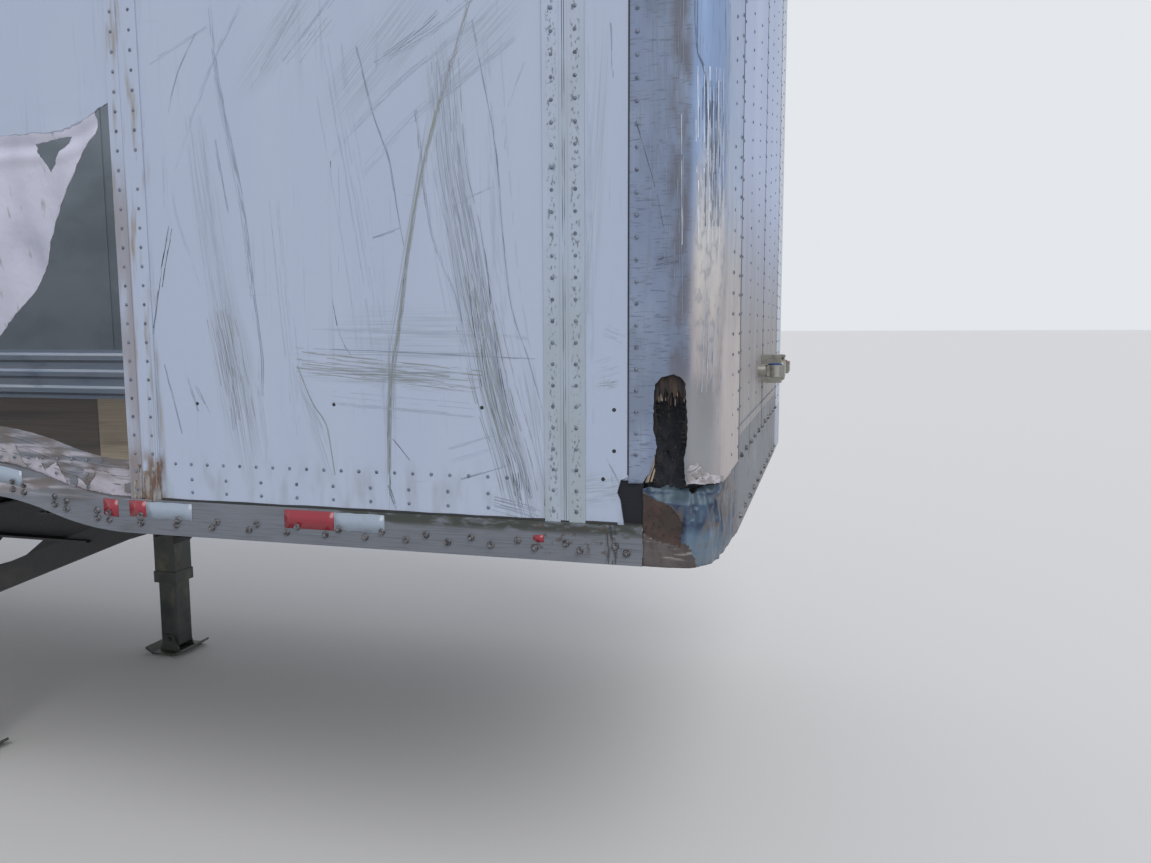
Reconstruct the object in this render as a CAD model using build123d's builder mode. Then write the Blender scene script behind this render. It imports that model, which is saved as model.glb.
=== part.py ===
from build123d import *
from math import atan, cos, degrees, hypot, pi, radians, sin
import os

os.makedirs("parts", exist_ok=True)

# A 53 ft composite plate van trailer, parked on its landing legs, its right front corner wrecked.
# Millimetres. +Z is up and the nose points to -Y. The wrecked kerb side is at -X.
# A station is a distance rearward from the face of the nose.

# Body envelope
BODY_LENGTH = 16154.0
WIDTH = 2591.0
HEIGHT = 4115.0
HOSE_REACH = 90.0  # hose couplings ahead of the nose
PIN_BACK = 49.0  # hinge pins behind the rear frame
KNUCKLE_R = 14.0
SEAT = 0.3  # clearance between pieces that are bolted or riveted face to face
RUNNING_GAP = 6.0  # clearance round the doors

HALF = WIDTH / 2
NOSE = -(HOSE_REACH + BODY_LENGTH + PIN_BACK + KNUCKLE_R) / 2 + HOSE_REACH
TAIL = NOSE + BODY_LENGTH

# Bottom rail, an aluminium extrusion: a proud lower web, a ledge and a flange behind the wall
RAIL_BOTTOM = 1145.0
RAIL_DEPTH = 205.0
RAIL_LEDGE = 98.0
RAIL_PROUD = 5.0
RAIL_T = 5.0
RAIL_FOOT = 66.0
RAIL_NOSE = 184.0

# Plate walls
SKIN_T = 6.5
PANEL_PITCH = 1219.2
FIRST_SPLICE = 376.0
CORNER_SEAM = 220.0
CORNER_R = 80.0
SPLICE_WIDTH = 102.0
SPLICE_T = 2.6
SPLICE_GROOVE = 22.0
POST_WIDTH = 76.0
POST_DEPTH = 4.4
SKIN_OUT = HALF - RAIL_PROUD
SKIN_IN = SKIN_OUT - SKIN_T
FLANGE_IN = SKIN_IN - RAIL_T

# Floor and crossmembers
CROSS_DEPTH = 102.0
CROSS_WIDTH = 64.0
CROSS_WEB = 5.0
CROSS_FLANGE = 6.0
CROSS_PITCH = 304.8
FLOOR_T = 30.0
FLOOR_BOARD = 304.0
CROSS_BOTTOM = RAIL_BOTTOM + RAIL_T + SEAT
CROSS_TOP = CROSS_BOTTOM + CROSS_DEPTH
FLOOR_BOTTOM = CROSS_TOP + SEAT
FLOOR_TOP = FLOOR_BOTTOM + FLOOR_T

# Scuff band along the foot of each wall, inside
SCUFF_HEIGHT = 305.0
SCUFF_DEPTH = 12.0
SCUFF_T = 2.0

# Roof
ROOF_T = 1.5
TOP_RAIL_DEPTH = 130.0
TOP_RAIL_LEG = 5.0
TOP_RAIL_FLANGE = 72.0
TOP_RAIL_ROUND = 12.0
BOW_PITCH = 609.6
BOW_WIDTH = 64.0
BOW_CROWN = 36.0
BOW_DEPTH = 28.0
BOW_T = 2.0
RAIL_TOP = HEIGHT - ROOF_T - SEAT
WALL_TOP = RAIL_TOP - TOP_RAIL_LEG - SEAT

# Front wall
FRONT_SEAM = 860.0  # half the width of the nose's flat panels
LINER_T = 10.0
NOSE_POST_DEPTH = 50.0
NOSE_POST_WIDTH = 60.0
NOSE_RAIL_HEIGHT = 270.0
NOSE_RAIL_T = 6.0
NOSE_RAIL_FOOT = 70.0
CASTING_HEIGHT = 200.0
CASTING_T = 9.0

# Wreck at the right front
TORN_START = FIRST_SPLICE + PANEL_PITCH
TORN_END = TORN_START + PANEL_PITCH
BOW_UP_START = TORN_START + SPLICE_WIDTH / 2 + 2.0
BOW_UP_RUN = (PANEL_PITCH - SPLICE_WIDTH) / 2 - 2.0
BOW_UP_RISE = 90.0
FLAP_R = 2500.0  # the hanging flap curls inward on this radius
FLAP_TOP = 1190.0  # height over the rail's foot at which the curl begins
CRUSH_ROOM = 75.0  # how far floor, liner and coupler are broken back behind the crushed casting

# Coupler and landing gear
KINGPIN_STATION = 914.0
KINGPIN_R = 25.4
KINGPIN_HEAD_R = 35.7
COUPLER_T = 10.0
COUPLER_START = 120.0
COUPLER_LENGTH = 1500.0
COUPLER_WIDTH = 1200.0
LEG_STATION = 3120.0
LEG_OUT = 640.0
LEG_TUBE = 127.0
LEG_INNER = 105.0
SHOE_LENGTH = 230.0
SHOE_WIDTH = 220.0
SHOE_RISE = 26.0
BEAM_START = 2358.0  # front end of the beams that carry the legs
BEAM_DEPTH = 221.0
BEAM_WIDTH = 90.0
BEAM_T = 8.0
DRAG_START = 1975.0  # front end of the drag braces
DRAG_WIDTH = 90.0
DRAG_BOX = 60.0

# Running gear
TYRE_R = 505.0
TYRE_W = 276.0
RIM_R = 286.0
DUAL_SPACING = 336.0
TYRE_INSET = 10.0
AXLE_SPACING = 1245.0
REAR_OVERHANG = 2254.0  # rear axle to the rear frame's face
REAR_AXLE = BODY_LENGTH - REAR_OVERHANG
AXLE_R = 63.5
SPINDLE_R = 38.0
HUB_R = 110.0
DRUM_R = 215.0
FRAME_X = 500.0
SLIDER_END = BODY_LENGTH - 304.0
SLIDER_START = SLIDER_END - 5950.0
SLIDER_DEPTH = 90.0
SLIDER_WIDTH = 90.0
BOGIE_DEPTH = 120.0
BOGIE_T = 8.0

# Rear frame and doors
REAR_POST_X = 86.0
REAR_POST_Y = 110.0
HEADER_HEIGHT = 150.0
SILL_HEIGHT = 170.0
DOOR_T = 45.0
BUMPER_REACH = 50.0
PIN_INSET = 17.0
PIN_R = 9.0
HINGES = 5
HINGE_HEIGHT = 110.0
STRAP_LENGTH = 230.0
STRAP_T = 7.0
ROD_R = 13.5
ROD_OFF = 24.0


def station(distance):
    """Y of a point that lies this far rearward from the nose."""
    return NOSE + distance


def across(y):
    """Plane for a section seen along the trailer: its x is X and its y is Z, and it extrudes rearward."""
    return Plane(origin=(0, y, 0), x_dir=(1, 0, 0), z_dir=(0, -1, 0))


def side_on(x):
    """Plane for a profile seen from the side: its x is Y and its y is Z, and it extrudes towards +X."""
    return Plane(origin=(x, 0, 0), x_dir=(0, 1, 0), z_dir=(1, 0, 0))


def finish(piece, name):
    piece.part.label = name
    export_step(piece.part, f"parts/{name}.step")


def block(x0, x1, y0, y1, z0, z1, mode=Mode.ADD):
    """A rectangular solid between two corners, in the open BuildPart."""
    with Locations(((x0 + x1) / 2, (y0 + y1) / 2, (z0 + z1) / 2)):
        Box(abs(x1 - x0), abs(y1 - y0), abs(z1 - z0), mode=mode)


def prism(plane, points, amount, mode=Mode.ADD):
    """A straight-sided outline on a plane, extruded into the open BuildPart."""
    with BuildSketch(plane) as outline:
        with BuildLine():
            Polyline(*points, close=True)
        make_face()
    extrude(outline.sketch, amount=amount, mode=mode)


# Side walls

def wall_panel(side, start, end):
    """One plate, from one butt joint to the next."""
    block(side * SKIN_IN, side * SKIN_OUT, station(start) + SEAT / 2, station(end) - SEAT / 2,
          RAIL_BOTTOM + RAIL_LEDGE + SEAT, WALL_TOP)


def splice(side, at):
    """The strip over a butt joint, with a groove down its middle, and the post inside."""
    out = SKIN_OUT + SEAT
    half, groove, step = SPLICE_WIDTH / 2, SPLICE_GROOVE / 2, SPLICE_T / 2
    strip = [(out, -half), (out + SPLICE_T, -half), (out + SPLICE_T, -groove), (out + step, -groove),
             (out + step, groove), (out + SPLICE_T, groove), (out + SPLICE_T, half), (out, half)]
    low = RAIL_BOTTOM + RAIL_LEDGE + SEAT
    high = RAIL_TOP - TOP_RAIL_DEPTH - SEAT
    prism(Plane.XY.offset(low), [(side * x, station(at) + y) for x, y in strip], high - low)
    block(side * (SKIN_IN - SEAT), side * (SKIN_IN - SEAT - POST_DEPTH), station(at) - POST_WIDTH / 2,
          station(at) + POST_WIDTH / 2, RAIL_BOTTOM + RAIL_DEPTH + SEAT, WALL_TOP - TOP_RAIL_FLANGE)


WALL_END = BODY_LENGTH - REAR_POST_Y - SEAT
SPLICES = []
joint_at = FIRST_SPLICE
while joint_at < WALL_END - SPLICE_WIDTH:
    SPLICES.append(joint_at)
    joint_at += PANEL_PITCH

with BuildPart() as side_wall_left:
    joints = [CORNER_SEAM] + SPLICES + [WALL_END]
    for start, end in zip(joints, joints[1:]):
        wall_panel(1, start, end)
    for at in SPLICES:
        splice(1, at)
finish(side_wall_left, "side_wall_left")

# The foot of the foremost plate is torn out beside the crushed casting
FOOT_NOTCH = [  # station, height over the rail's foot
    (218.0, 216.0), (238.0, 208.0), (247.0, 176.0), (239.0, 157.0), (230.0, 97.0), (218.0, 97.0),
]
with BuildPart() as side_wall_right_front:
    wall_panel(-1, CORNER_SEAM, FIRST_SPLICE)
    prism(side_on(-HALF), [(station(s), RAIL_BOTTOM + z) for s, z in FOOT_NOTCH], 2 * SKIN_T, mode=Mode.SUBTRACT)
    wall_panel(-1, FIRST_SPLICE, TORN_START)
    splice(-1, FIRST_SPLICE)
    splice(-1, TORN_START)
finish(side_wall_right_front, "side_wall_right_front")

with BuildPart() as side_wall_right_rear:
    joints = [TORN_END] + SPLICES[3:] + [WALL_END]
    for start, end in zip(joints, joints[1:]):
        wall_panel(-1, start, end)
    for at in SPLICES[2:]:
        splice(-1, at)
finish(side_wall_right_rear, "side_wall_right_rear")

# The torn panel: the plate is ripped off the rail and off its front joint, and creased along a line.
# Above the line it is flat. Below it hangs as a flap that curls inward, with a rent near its top.
CREASE = [  # distance from the panel's front joint, height over the rail's foot
    (0.0, 1185.0), (60.0, 1175.0), (100.0, 1155.0), (150.0, 1130.0), (210.0, 1112.0), (420.0, 1110.0),
    (620.0, 1090.0), (800.0, 1000.0), (1000.0, 760.0), (1219.2, 420.0),
]
FLAP_EDGE = [  # from the crease at the front, down and back up to the crease
    (100.0, 1098.0), (155.0, 1045.0), (200.0, 980.0), (250.0, 928.0), (290.0, 875.0), (320.0, 818.0),
    (343.0, 758.0), (390.0, 714.0), (480.0, 626.0), (565.0, 559.0), (655.0, 500.0), (805.0, 520.0),
    (925.0, 640.0), (1000.0, 755.0),
]
FLAP_RENT = [(190.0, 1095.0), (315.0, 1085.0), (273.0, 1005.0)]
CREASE_LAP = 8.0  # the flap runs this far up behind the crease


def on_panel(points, lift=0.0):
    """Y and Z of points that are given from the torn panel's front joint and the rail's foot."""
    low, high = SEAT / 2, PANEL_PITCH - SEAT / 2
    return [(station(TORN_START) + min(max(s, low), high), RAIL_BOTTOM + z + lift) for s, z in points]


with BuildPart() as flap:
    with BuildSketch(across(station(TORN_START))) as curl:
        with BuildLine():
            centre = (FLAP_R - SKIN_OUT, RAIL_BOTTOM + FLAP_TOP)
            outer_curl = CenterArc(centre, FLAP_R, 180, 18)
            inner_curl = CenterArc(centre, FLAP_R - SKIN_T, 180, 18)
            Line(outer_curl @ 0, inner_curl @ 0)
            Line(outer_curl @ 1, inner_curl @ 1)
        make_face()
    extrude(curl.sketch, amount=-PANEL_PITCH)
    crease_back = [(s, z) for s, z in CREASE if FLAP_EDGE[0][0] <= s <= FLAP_EDGE[-1][0]][::-1]
    hanging = on_panel(FLAP_EDGE) + on_panel(crease_back, CREASE_LAP)
    prism(side_on(-HALF), hanging, HALF, mode=Mode.INTERSECT)
    prism(side_on(-HALF), on_panel(FLAP_RENT), HALF, mode=Mode.SUBTRACT)

with BuildPart() as torn_panel:
    edge = on_panel(CREASE)
    prism(side_on(-SKIN_OUT), edge + [(edge[-1][0], WALL_TOP), (edge[0][0], WALL_TOP)], SKIN_T)
    add(flap.part)
finish(torn_panel, "torn_panel")

# Bottom rails

def rail_profile(side):
    """Section of the bottom rail: foot, proud web, ledge under the plate and flange behind it."""
    web = HALF - RAIL_T
    ledge = RAIL_LEDGE - RAIL_T
    return [(side * x, RAIL_BOTTOM + z) for x, z in [
        (HALF, 0), (HALF, RAIL_LEDGE), (SKIN_IN, RAIL_LEDGE), (SKIN_IN, RAIL_DEPTH), (FLANGE_IN, RAIL_DEPTH),
        (FLANGE_IN, ledge), (web, ledge), (web, RAIL_T), (HALF - RAIL_FOOT, RAIL_T), (HALF - RAIL_FOOT, 0)]]


RAIL_END = BODY_LENGTH - REAR_POST_Y - SEAT
with BuildPart() as bottom_rail_left:
    prism(across(station(RAIL_NOSE)), rail_profile(1), -(RAIL_END - RAIL_NOSE))
finish(bottom_rail_left, "bottom_rail_left")

bend = 2 * atan(BOW_UP_RISE / BOW_UP_RUN)
with BuildPart() as bottom_rail_right:
    with BuildLine() as bow_path:
        a = Line((-HALF, station(RAIL_NOSE), RAIL_BOTTOM), (-HALF, station(BOW_UP_START), RAIL_BOTTOM))
        x, y, z = -HALF, station(BOW_UP_START), RAIL_BOTTOM
        mid_y, mid_z = y + BOW_UP_RUN / 2, z + BOW_UP_RISE / 2
        top_y, top_z = y + BOW_UP_RUN, z + BOW_UP_RISE
        TangentArc((x, y, z), (x, mid_y, mid_z), tangent=(0, 1, 0))
        slope = (0, cos(bend), sin(bend))
        TangentArc((x, mid_y, mid_z), (x, top_y, top_z), tangent=slope)
        back_y = top_y + BOW_UP_RUN
        TangentArc((x, top_y, top_z), (x, top_y + BOW_UP_RUN / 2, mid_z), tangent=(0, 1, 0))
        TangentArc((x, top_y + BOW_UP_RUN / 2, mid_z), (x, back_y, z), tangent=(0, cos(bend), -sin(bend)))
        Line((x, back_y, z), (x, station(RAIL_END), z))
    with BuildSketch(across(station(RAIL_NOSE))):
        with BuildLine():
            Polyline(*rail_profile(-1), close=True)
        make_face()
    sweep(path=bow_path.line)
finish(bottom_rail_right, "bottom_rail_right")

# Top rails, roof sheet and roof bows

for side, name in ((1, "top_rail_left"), (-1, "top_rail_right")):
    with BuildPart() as rail:
        out, flange = HALF, HALF - TOP_RAIL_FLANGE
        leg_in = SKIN_OUT + SEAT
        grip_out = SKIN_IN - SEAT
        grip_in = grip_out - TOP_RAIL_LEG
        under = RAIL_TOP - TOP_RAIL_LEG
        foot, grip_foot = RAIL_TOP - TOP_RAIL_DEPTH, RAIL_TOP - TOP_RAIL_FLANGE
        points = [(out, foot), (out, RAIL_TOP), (flange, RAIL_TOP), (flange, under), (grip_in, under),
                  (grip_in, grip_foot), (grip_out, grip_foot), (grip_out, under), (leg_in, under), (leg_in, foot)]
        with BuildSketch(across(station(CORNER_R))) as section:
            with BuildLine():
                Polyline(*[(side * x, z) for x, z in points], close=True)
            make_face()
            fillet(section.vertices().sort_by(lambda v: side * v.X + v.Y)[-1], TOP_RAIL_ROUND)
        extrude(amount=-(BODY_LENGTH - REAR_POST_Y - SEAT - CORNER_R))
    finish(rail, name)


ROOF_HALF = HALF - TOP_RAIL_ROUND
with BuildPart() as roof_sheet:
    block(-ROOF_HALF, ROOF_HALF, station(CORNER_R), TAIL - REAR_POST_Y - SEAT, HEIGHT - ROOF_T, HEIGHT)
finish(roof_sheet, "roof_sheet")

BOW_END = SKIN_IN - SEAT - TOP_RAIL_LEG - SEAT
BOW_TOP = HEIGHT - ROOF_T - SEAT
BOW_COUNT = int((BODY_LENGTH - 2 * BOW_PITCH) // BOW_PITCH) + 1


def bow_profile(y):
    """A hat section that opens downward, with a flange to each side."""
    half, crown, low = BOW_WIDTH / 2, BOW_CROWN / 2, BOW_TOP - TOP_RAIL_LEG - BOW_DEPTH
    top = BOW_TOP - TOP_RAIL_LEG
    return [(y - half, low), (y - crown, low), (y - crown, top - BOW_T), (y + crown, top - BOW_T),
            (y + crown, low), (y + half, low), (y + half, low + BOW_T), (y + crown + BOW_T, low + BOW_T),
            (y + crown + BOW_T, top), (y - crown - BOW_T, top), (y - crown - BOW_T, low + BOW_T),
            (y - half, low + BOW_T)]


with BuildPart() as roof_bows:
    for i in range(BOW_COUNT):
        prism(side_on(-BOW_END), bow_profile(station(BOW_PITCH * (i + 1))), 2 * BOW_END)
finish(roof_bows, "roof_bows")

# Floor, scuff bands and crossmembers
FLOOR_HALF = FLANGE_IN - SEAT
FLOOR_START = NOSE_POST_DEPTH + SKIN_T + LINER_T + 3 * SEAT
FLOOR_END = BODY_LENGTH - REAR_POST_Y - SEAT
CRUSH_END = 200.0  # station up to which the floor's corner is broken off
BROKEN_IN = 110.0  # how far the boards and crossmembers are broken back at the lifted rail
BROKEN_START = BOW_UP_START - 20.0
BROKEN_END = BOW_UP_START + 2 * BOW_UP_RUN + 20.0

with BuildPart() as floor_boards:
    boards = int(2 * FLOOR_HALF // FLOOR_BOARD)
    width = 2 * FLOOR_HALF / boards
    for i in range(boards):
        x0 = -FLOOR_HALF + i * width
        block(x0 + SEAT / 2, x0 + width - SEAT / 2, station(FLOOR_START), station(FLOOR_END),
              FLOOR_BOTTOM, FLOOR_TOP)
    block(-HALF, -FLOOR_HALF + BROKEN_IN, station(BROKEN_START), station(BROKEN_END),
          FLOOR_BOTTOM - 1, FLOOR_TOP + 1, mode=Mode.SUBTRACT)
    block(-HALF, -FLOOR_HALF + CRUSH_ROOM, station(0), station(CRUSH_END), FLOOR_BOTTOM - 1, FLOOR_TOP + 1,
          mode=Mode.SUBTRACT)
finish(floor_boards, "floor_boards")


def scuff(side, start, end):
    """Galvanised band with three rounded ribs, standing on the floor against the rail's flange."""
    back = FLANGE_IN - SEAT
    pitch = SCUFF_HEIGHT / 3
    foot = FLOOR_TOP + SEAT
    low, high = back - SCUFF_T, back - SCUFF_DEPTH
    face = [(back, 0.0), (low, 0.0)]
    for i in range(3):
        z = i * pitch
        face += [(low, z + 22), (high, z + 38), (high, z + 66), (low, z + 82)]
    face += [(low, SCUFF_HEIGHT), (back, SCUFF_HEIGHT)]
    prism(across(station(start)), [(side * x, foot + z) for x, z in face], -(end - start))


with BuildPart() as scuff_bands:
    scuff(1, FLOOR_START, FLOOR_END)
    scuff(-1, CORNER_SEAM, BROKEN_START - 60.0)
    scuff(-1, BROKEN_END + 60.0, FLOOR_END)
finish(scuff_bands, "scuff_bands")

CROSS_START = COUPLER_START + COUPLER_LENGTH + CROSS_PITCH / 2
CROSS_COUNT = int((BODY_LENGTH - 250.0 - CROSS_START) // CROSS_PITCH) + 1


def beam_profile(y):
    """An I section, its web down the middle."""
    half, web = CROSS_WIDTH / 2, CROSS_WEB / 2
    low, high = CROSS_BOTTOM + CROSS_FLANGE, CROSS_TOP - CROSS_FLANGE
    return [(y - half, CROSS_BOTTOM), (y + half, CROSS_BOTTOM), (y + half, low), (y + web, low), (y + web, high),
            (y + half, high), (y + half, CROSS_TOP), (y - half, CROSS_TOP), (y - half, high), (y - web, high),
            (y - web, low), (y - half, low)]


with BuildPart() as crossmembers:
    reach = FLANGE_IN - SEAT
    for i in range(CROSS_COUNT):
        at = CROSS_START + i * CROSS_PITCH
        torn = BROKEN_START - CROSS_WIDTH < at < BROKEN_END + CROSS_WIDTH
        start = -reach + (BROKEN_IN if torn else 0.0)
        prism(side_on(start), beam_profile(station(at)), reach - start)
finish(crossmembers, "crossmembers")

# Front wall: outer plates, hat posts, plywood liner, corner skins and posts
PLATE_LOW = RAIL_BOTTOM + NOSE_RAIL_HEIGHT

with BuildPart() as front_plates:
    for x0, x1 in ((-FRONT_SEAM, 0.0), (0.0, FRONT_SEAM)):
        block(x0 + SEAT / 2, x1 - SEAT / 2, NOSE, NOSE + SKIN_T, PLATE_LOW + SEAT, WALL_TOP)
finish(front_plates, "front_plates")


def corner_shell(side, out, thickness, back, front, low, high, mode=Mode.ADD):
    """An upright sheet that goes round the corner: flat on the side, an arc, and flat on the nose."""
    inner = out - thickness
    outer_r = CORNER_R - (SKIN_OUT - out)
    front_y = SKIN_OUT - out
    turn = out - outer_r
    with BuildSketch(Plane.XY.offset(low)) as plan:
        with BuildLine():
            Polyline((side * turn, station(front_y)), (side * front, station(front_y)),
                     (side * front, station(front_y + thickness)), (side * turn, station(front_y + thickness)))
            CenterArc((side * turn, station(front_y + outer_r)), outer_r - thickness,
                      270 if side > 0 else 180, 90)
            Polyline((side * inner, station(front_y + outer_r)), (side * inner, station(back)),
                     (side * out, station(back)), (side * out, station(front_y + outer_r)))
            CenterArc((side * turn, station(front_y + outer_r)), outer_r, 270 if side > 0 else 180, 90)
        make_face()
    extrude(plan.sketch, amount=high - low, mode=mode)


def corner_skin(side):
    corner_shell(side, SKIN_OUT, SKIN_T, CORNER_SEAM - SEAT, FRONT_SEAM + SEAT,
                 RAIL_BOTTOM + CASTING_HEIGHT + SEAT, WALL_TOP)


with BuildPart() as corner_skin_left:
    corner_skin(1)
finish(corner_skin_left, "corner_skin_left")

# The hole that is punched through the wrecked corner's skin
HOLE = [  # station, height over the rail's foot
    (84.0, 440.0), (112.0, 462.0), (156.0, 438.0), (160.0, 330.0), (150.0, 290.0), (168.0, 225.0),
    (196.0, 190.0), (80.0, 190.0), (86.0, 262.0), (78.0, 330.0), (82.0, 392.0),
]
with BuildPart() as corner_skin_right:
    corner_skin(-1)
    prism(side_on(-HALF - 1), [(station(s), RAIL_BOTTOM + z) for s, z in HOLE], 60.0, mode=Mode.SUBTRACT)
finish(corner_skin_right, "corner_skin_right")

LINER_FRONT = SKIN_T + NOSE_POST_DEPTH + SEAT
with BuildPart() as front_posts:
    span = 2 * (FRONT_SEAM + 150.0)
    posts = 7
    for i in range(posts):
        x = -span / 2 + i * span / (posts - 1)
        block(x - NOSE_POST_WIDTH / 2, x + NOSE_POST_WIDTH / 2, station(SKIN_T + SEAT),
              station(SKIN_T + SEAT + NOSE_POST_DEPTH - SEAT), RAIL_BOTTOM + NOSE_RAIL_HEIGHT + SEAT, WALL_TOP - 60)
        block(x - NOSE_POST_WIDTH / 2 + 4, x + NOSE_POST_WIDTH / 2 - 4, station(SKIN_T),
              station(SKIN_T + NOSE_POST_DEPTH - 4), RAIL_BOTTOM, HEIGHT, mode=Mode.SUBTRACT)
finish(front_posts, "front_posts")

LINER_BREAK = 232.0  # height over the rail's foot up to which the liner's corner is broken off
with BuildPart() as front_liner:
    inner = FLANGE_IN - SCUFF_DEPTH - 1
    block(-inner, inner, station(LINER_FRONT), station(LINER_FRONT + LINER_T), FLOOR_TOP + SEAT, WALL_TOP - 60)
    block(-HALF, -inner + 2 * CRUSH_ROOM, station(0), station(CRUSH_END), FLOOR_TOP, RAIL_BOTTOM + LINER_BREAK,
          mode=Mode.SUBTRACT)
finish(front_liner, "front_liner")

# Plywood that lines the wrecked corner, splintered round the hole
SPLINTERS = [  # station, height over the rail's foot
    (CRUSH_END, 138.2), (CRUSH_END, 205.0), (182.0, 214.0), (170.0, 226.0), (164.0, 250.0), (157.0, 262.0),
    (160.0, 300.0), (153.0, 330.0), (159.0, 392.0), (150.0, 404.0), (147.0, 424.0), (139.0, 408.0),
    (133.0, 430.0), (124.0, 410.0), (117.0, 421.0), (110.0, 405.0), (101.0, 426.0), (95.0, 408.0),
    (84.0, 404.0), (86.0, 330.0), (80.0, 290.0), (84.0, 240.0), (LINER_FRONT + LINER_T + SEAT, 233.0),
]
LINING_TOP = 700.0
with BuildPart() as corner_liner:
    back = CORNER_SEAM - SEAT
    lining = SPLINTERS + [(SPLINTERS[-1][0], LINING_TOP), (back, LINING_TOP), (back, SPLINTERS[0][1])]
    prism(side_on(-(FLANGE_IN - SEAT)), [(station(s), RAIL_BOTTOM + z) for s, z in lining], LINER_T)
finish(corner_liner, "corner_liner")

# Front rails
with BuildPart() as front_bottom_rail:
    inner_end = FRONT_SEAM - SEAT
    profile = [(0, 0), (0, NOSE_RAIL_HEIGHT), (NOSE_RAIL_T, NOSE_RAIL_HEIGHT), (NOSE_RAIL_T, NOSE_RAIL_T),
               (NOSE_RAIL_FOOT, NOSE_RAIL_T), (NOSE_RAIL_FOOT, 0)]
    prism(side_on(-inner_end), [(station(s), RAIL_BOTTOM + z) for s, z in profile], 2 * inner_end)
finish(front_bottom_rail, "front_bottom_rail")

# Corner castings: a bent plate round the foot of each front corner, with a shelf at its foot
def corner_casting(side):
    corner_shell(side, SKIN_OUT, CASTING_T, RAIL_NOSE - SEAT, FRONT_SEAM + SEAT, RAIL_BOTTOM,
                 RAIL_BOTTOM + CASTING_HEIGHT)
    shelf = SKIN_OUT - CASTING_T - SEAT
    block(side * (shelf - 60), side * (shelf + SEAT), station(CORNER_R), station(RAIL_NOSE - SEAT), RAIL_BOTTOM,
          RAIL_BOTTOM + CASTING_T)


with BuildPart() as corner_casting_left:
    corner_casting(1)
finish(corner_casting_left, "corner_casting_left")

# The wrecked casting keeps its ends, and between them it is crushed in and folded. Each row is a run round
# the corner, rearward from the bend's middle line, with the inward depth of the dent at each height.
BEATEN_DOWN = 3.0  # how far the crushed plate's top edge is driven down
CRUSH_HEIGHTS = (0.0, 34.0, 72.0, 110.0, 150.0, 178.0, CASTING_HEIGHT - BEATEN_DOWN)
CRUSH = [
    (RAIL_NOSE - SEAT, (0, 0, 0, 0, 0, 0, 0)),
    (166.0, (0, 1, 10, 12, 10, 16, 24)),
    (140.0, (0, 2, 13, 14, 13, 26, 40)),
    (112.0, (2, 3, 13, 14, 14, 32, 50)),
    (92.0, (4, 3, 9, 14, 10, 32, 50)),
    (76.0, (8, 2, 1, 4, 10, 26, 42)),
    (60.0, (14, 8, 6, 10, 18, 30, 44)),
    (44.0, (20, 14, 4, 2, 8, 22, 38)),
    (28.0, (25, 20, 10, 4, 3, 14, 32)),
    (14.0, (26, 20, 6, 8, 12, 20, 28)),
    (0.0, (27, 22, 14, 14, 8, 16, 26)),
    (-14.0, (28, 22, 16, 14, 20, 14, 24)),
    (-30.0, (26, 24, 20, 6, 12, 18, 18)),
    (-46.0, (24, 16, 10, 14, 18, 10, 14)),
    (-66.0, (22, 18, 20, 20, 12, 12, 10)),
    (-90.0, (18, 12, 8, 8, 10, 8, 8)),
    (-120.0, (16, 16, 18, 16, 10, 6, 6)),
    (-160.0, (12, 6, 4, 4, 6, 4, 3)),
    (-200.0, (10, 12, 14, 10, 4, 2, 2)),
    (-250.0, (8, 4, 2, 2, 3, 1, 1)),
    (-300.0, (6, 7, 8, 5, 1, 1, 0)),
    (-350.0, (3, 2, 1, 1, 0, 0, 0)),
    (CORNER_R - CORNER_R * pi / 2 - (SKIN_OUT - CORNER_R - FRONT_SEAM - SEAT), (0, 0, 0, 0, 0, 0, 0)),
]


def round_corner(run, depth):
    """X and Y of a point of the wrecked corner at a run round it and a depth inward from its face."""
    turn = SKIN_OUT - CORNER_R
    if run >= CORNER_R:
        return -(SKIN_OUT - depth), station(run)
    angle = min((CORNER_R - run) / CORNER_R, pi / 2)
    beyond = CORNER_R - run - CORNER_R * angle
    reach = CORNER_R - depth
    return -(turn + reach * cos(angle) - beyond), station(CORNER_R - reach * sin(angle))


def crushed_rows(behind):
    """The crushed plate's points at one depth behind its face, one row for each height."""
    return [[(*round_corner(run, depths[level] + behind), RAIL_BOTTOM + height) for run, depths in CRUSH]
            for level, height in enumerate(CRUSH_HEIGHTS)]


def facets(rows):
    """Two triangles between each four neighbouring points of a grid."""
    made = []
    for low, high in zip(rows, rows[1:]):
        for a, b, c, d in zip(low, low[1:], high[1:], high):
            made += [Face(Wire.make_polygon(corners)) for corners in ((a, b, c), (a, c, d))]
    return made


with BuildPart() as corner_casting_right:
    front, back = crushed_rows(0.0), crushed_rows(CASTING_T)
    rims = [facets([front[i], back[i]]) + facets([[row[i] for row in front], [row[i] for row in back]])
            for i in (0, -1)]
    add(Solid(Shell(facets(front) + facets(back) + rims[0] + rims[1])))
finish(corner_casting_right, "corner_casting_right")

with BuildPart() as front_top_rail:
    block(-(SKIN_OUT - CORNER_R), SKIN_OUT - CORNER_R, NOSE + SKIN_T + SEAT, station(CORNER_R - SEAT),
          WALL_TOP - 50, RAIL_TOP)
finish(front_top_rail, "front_top_rail")

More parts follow.
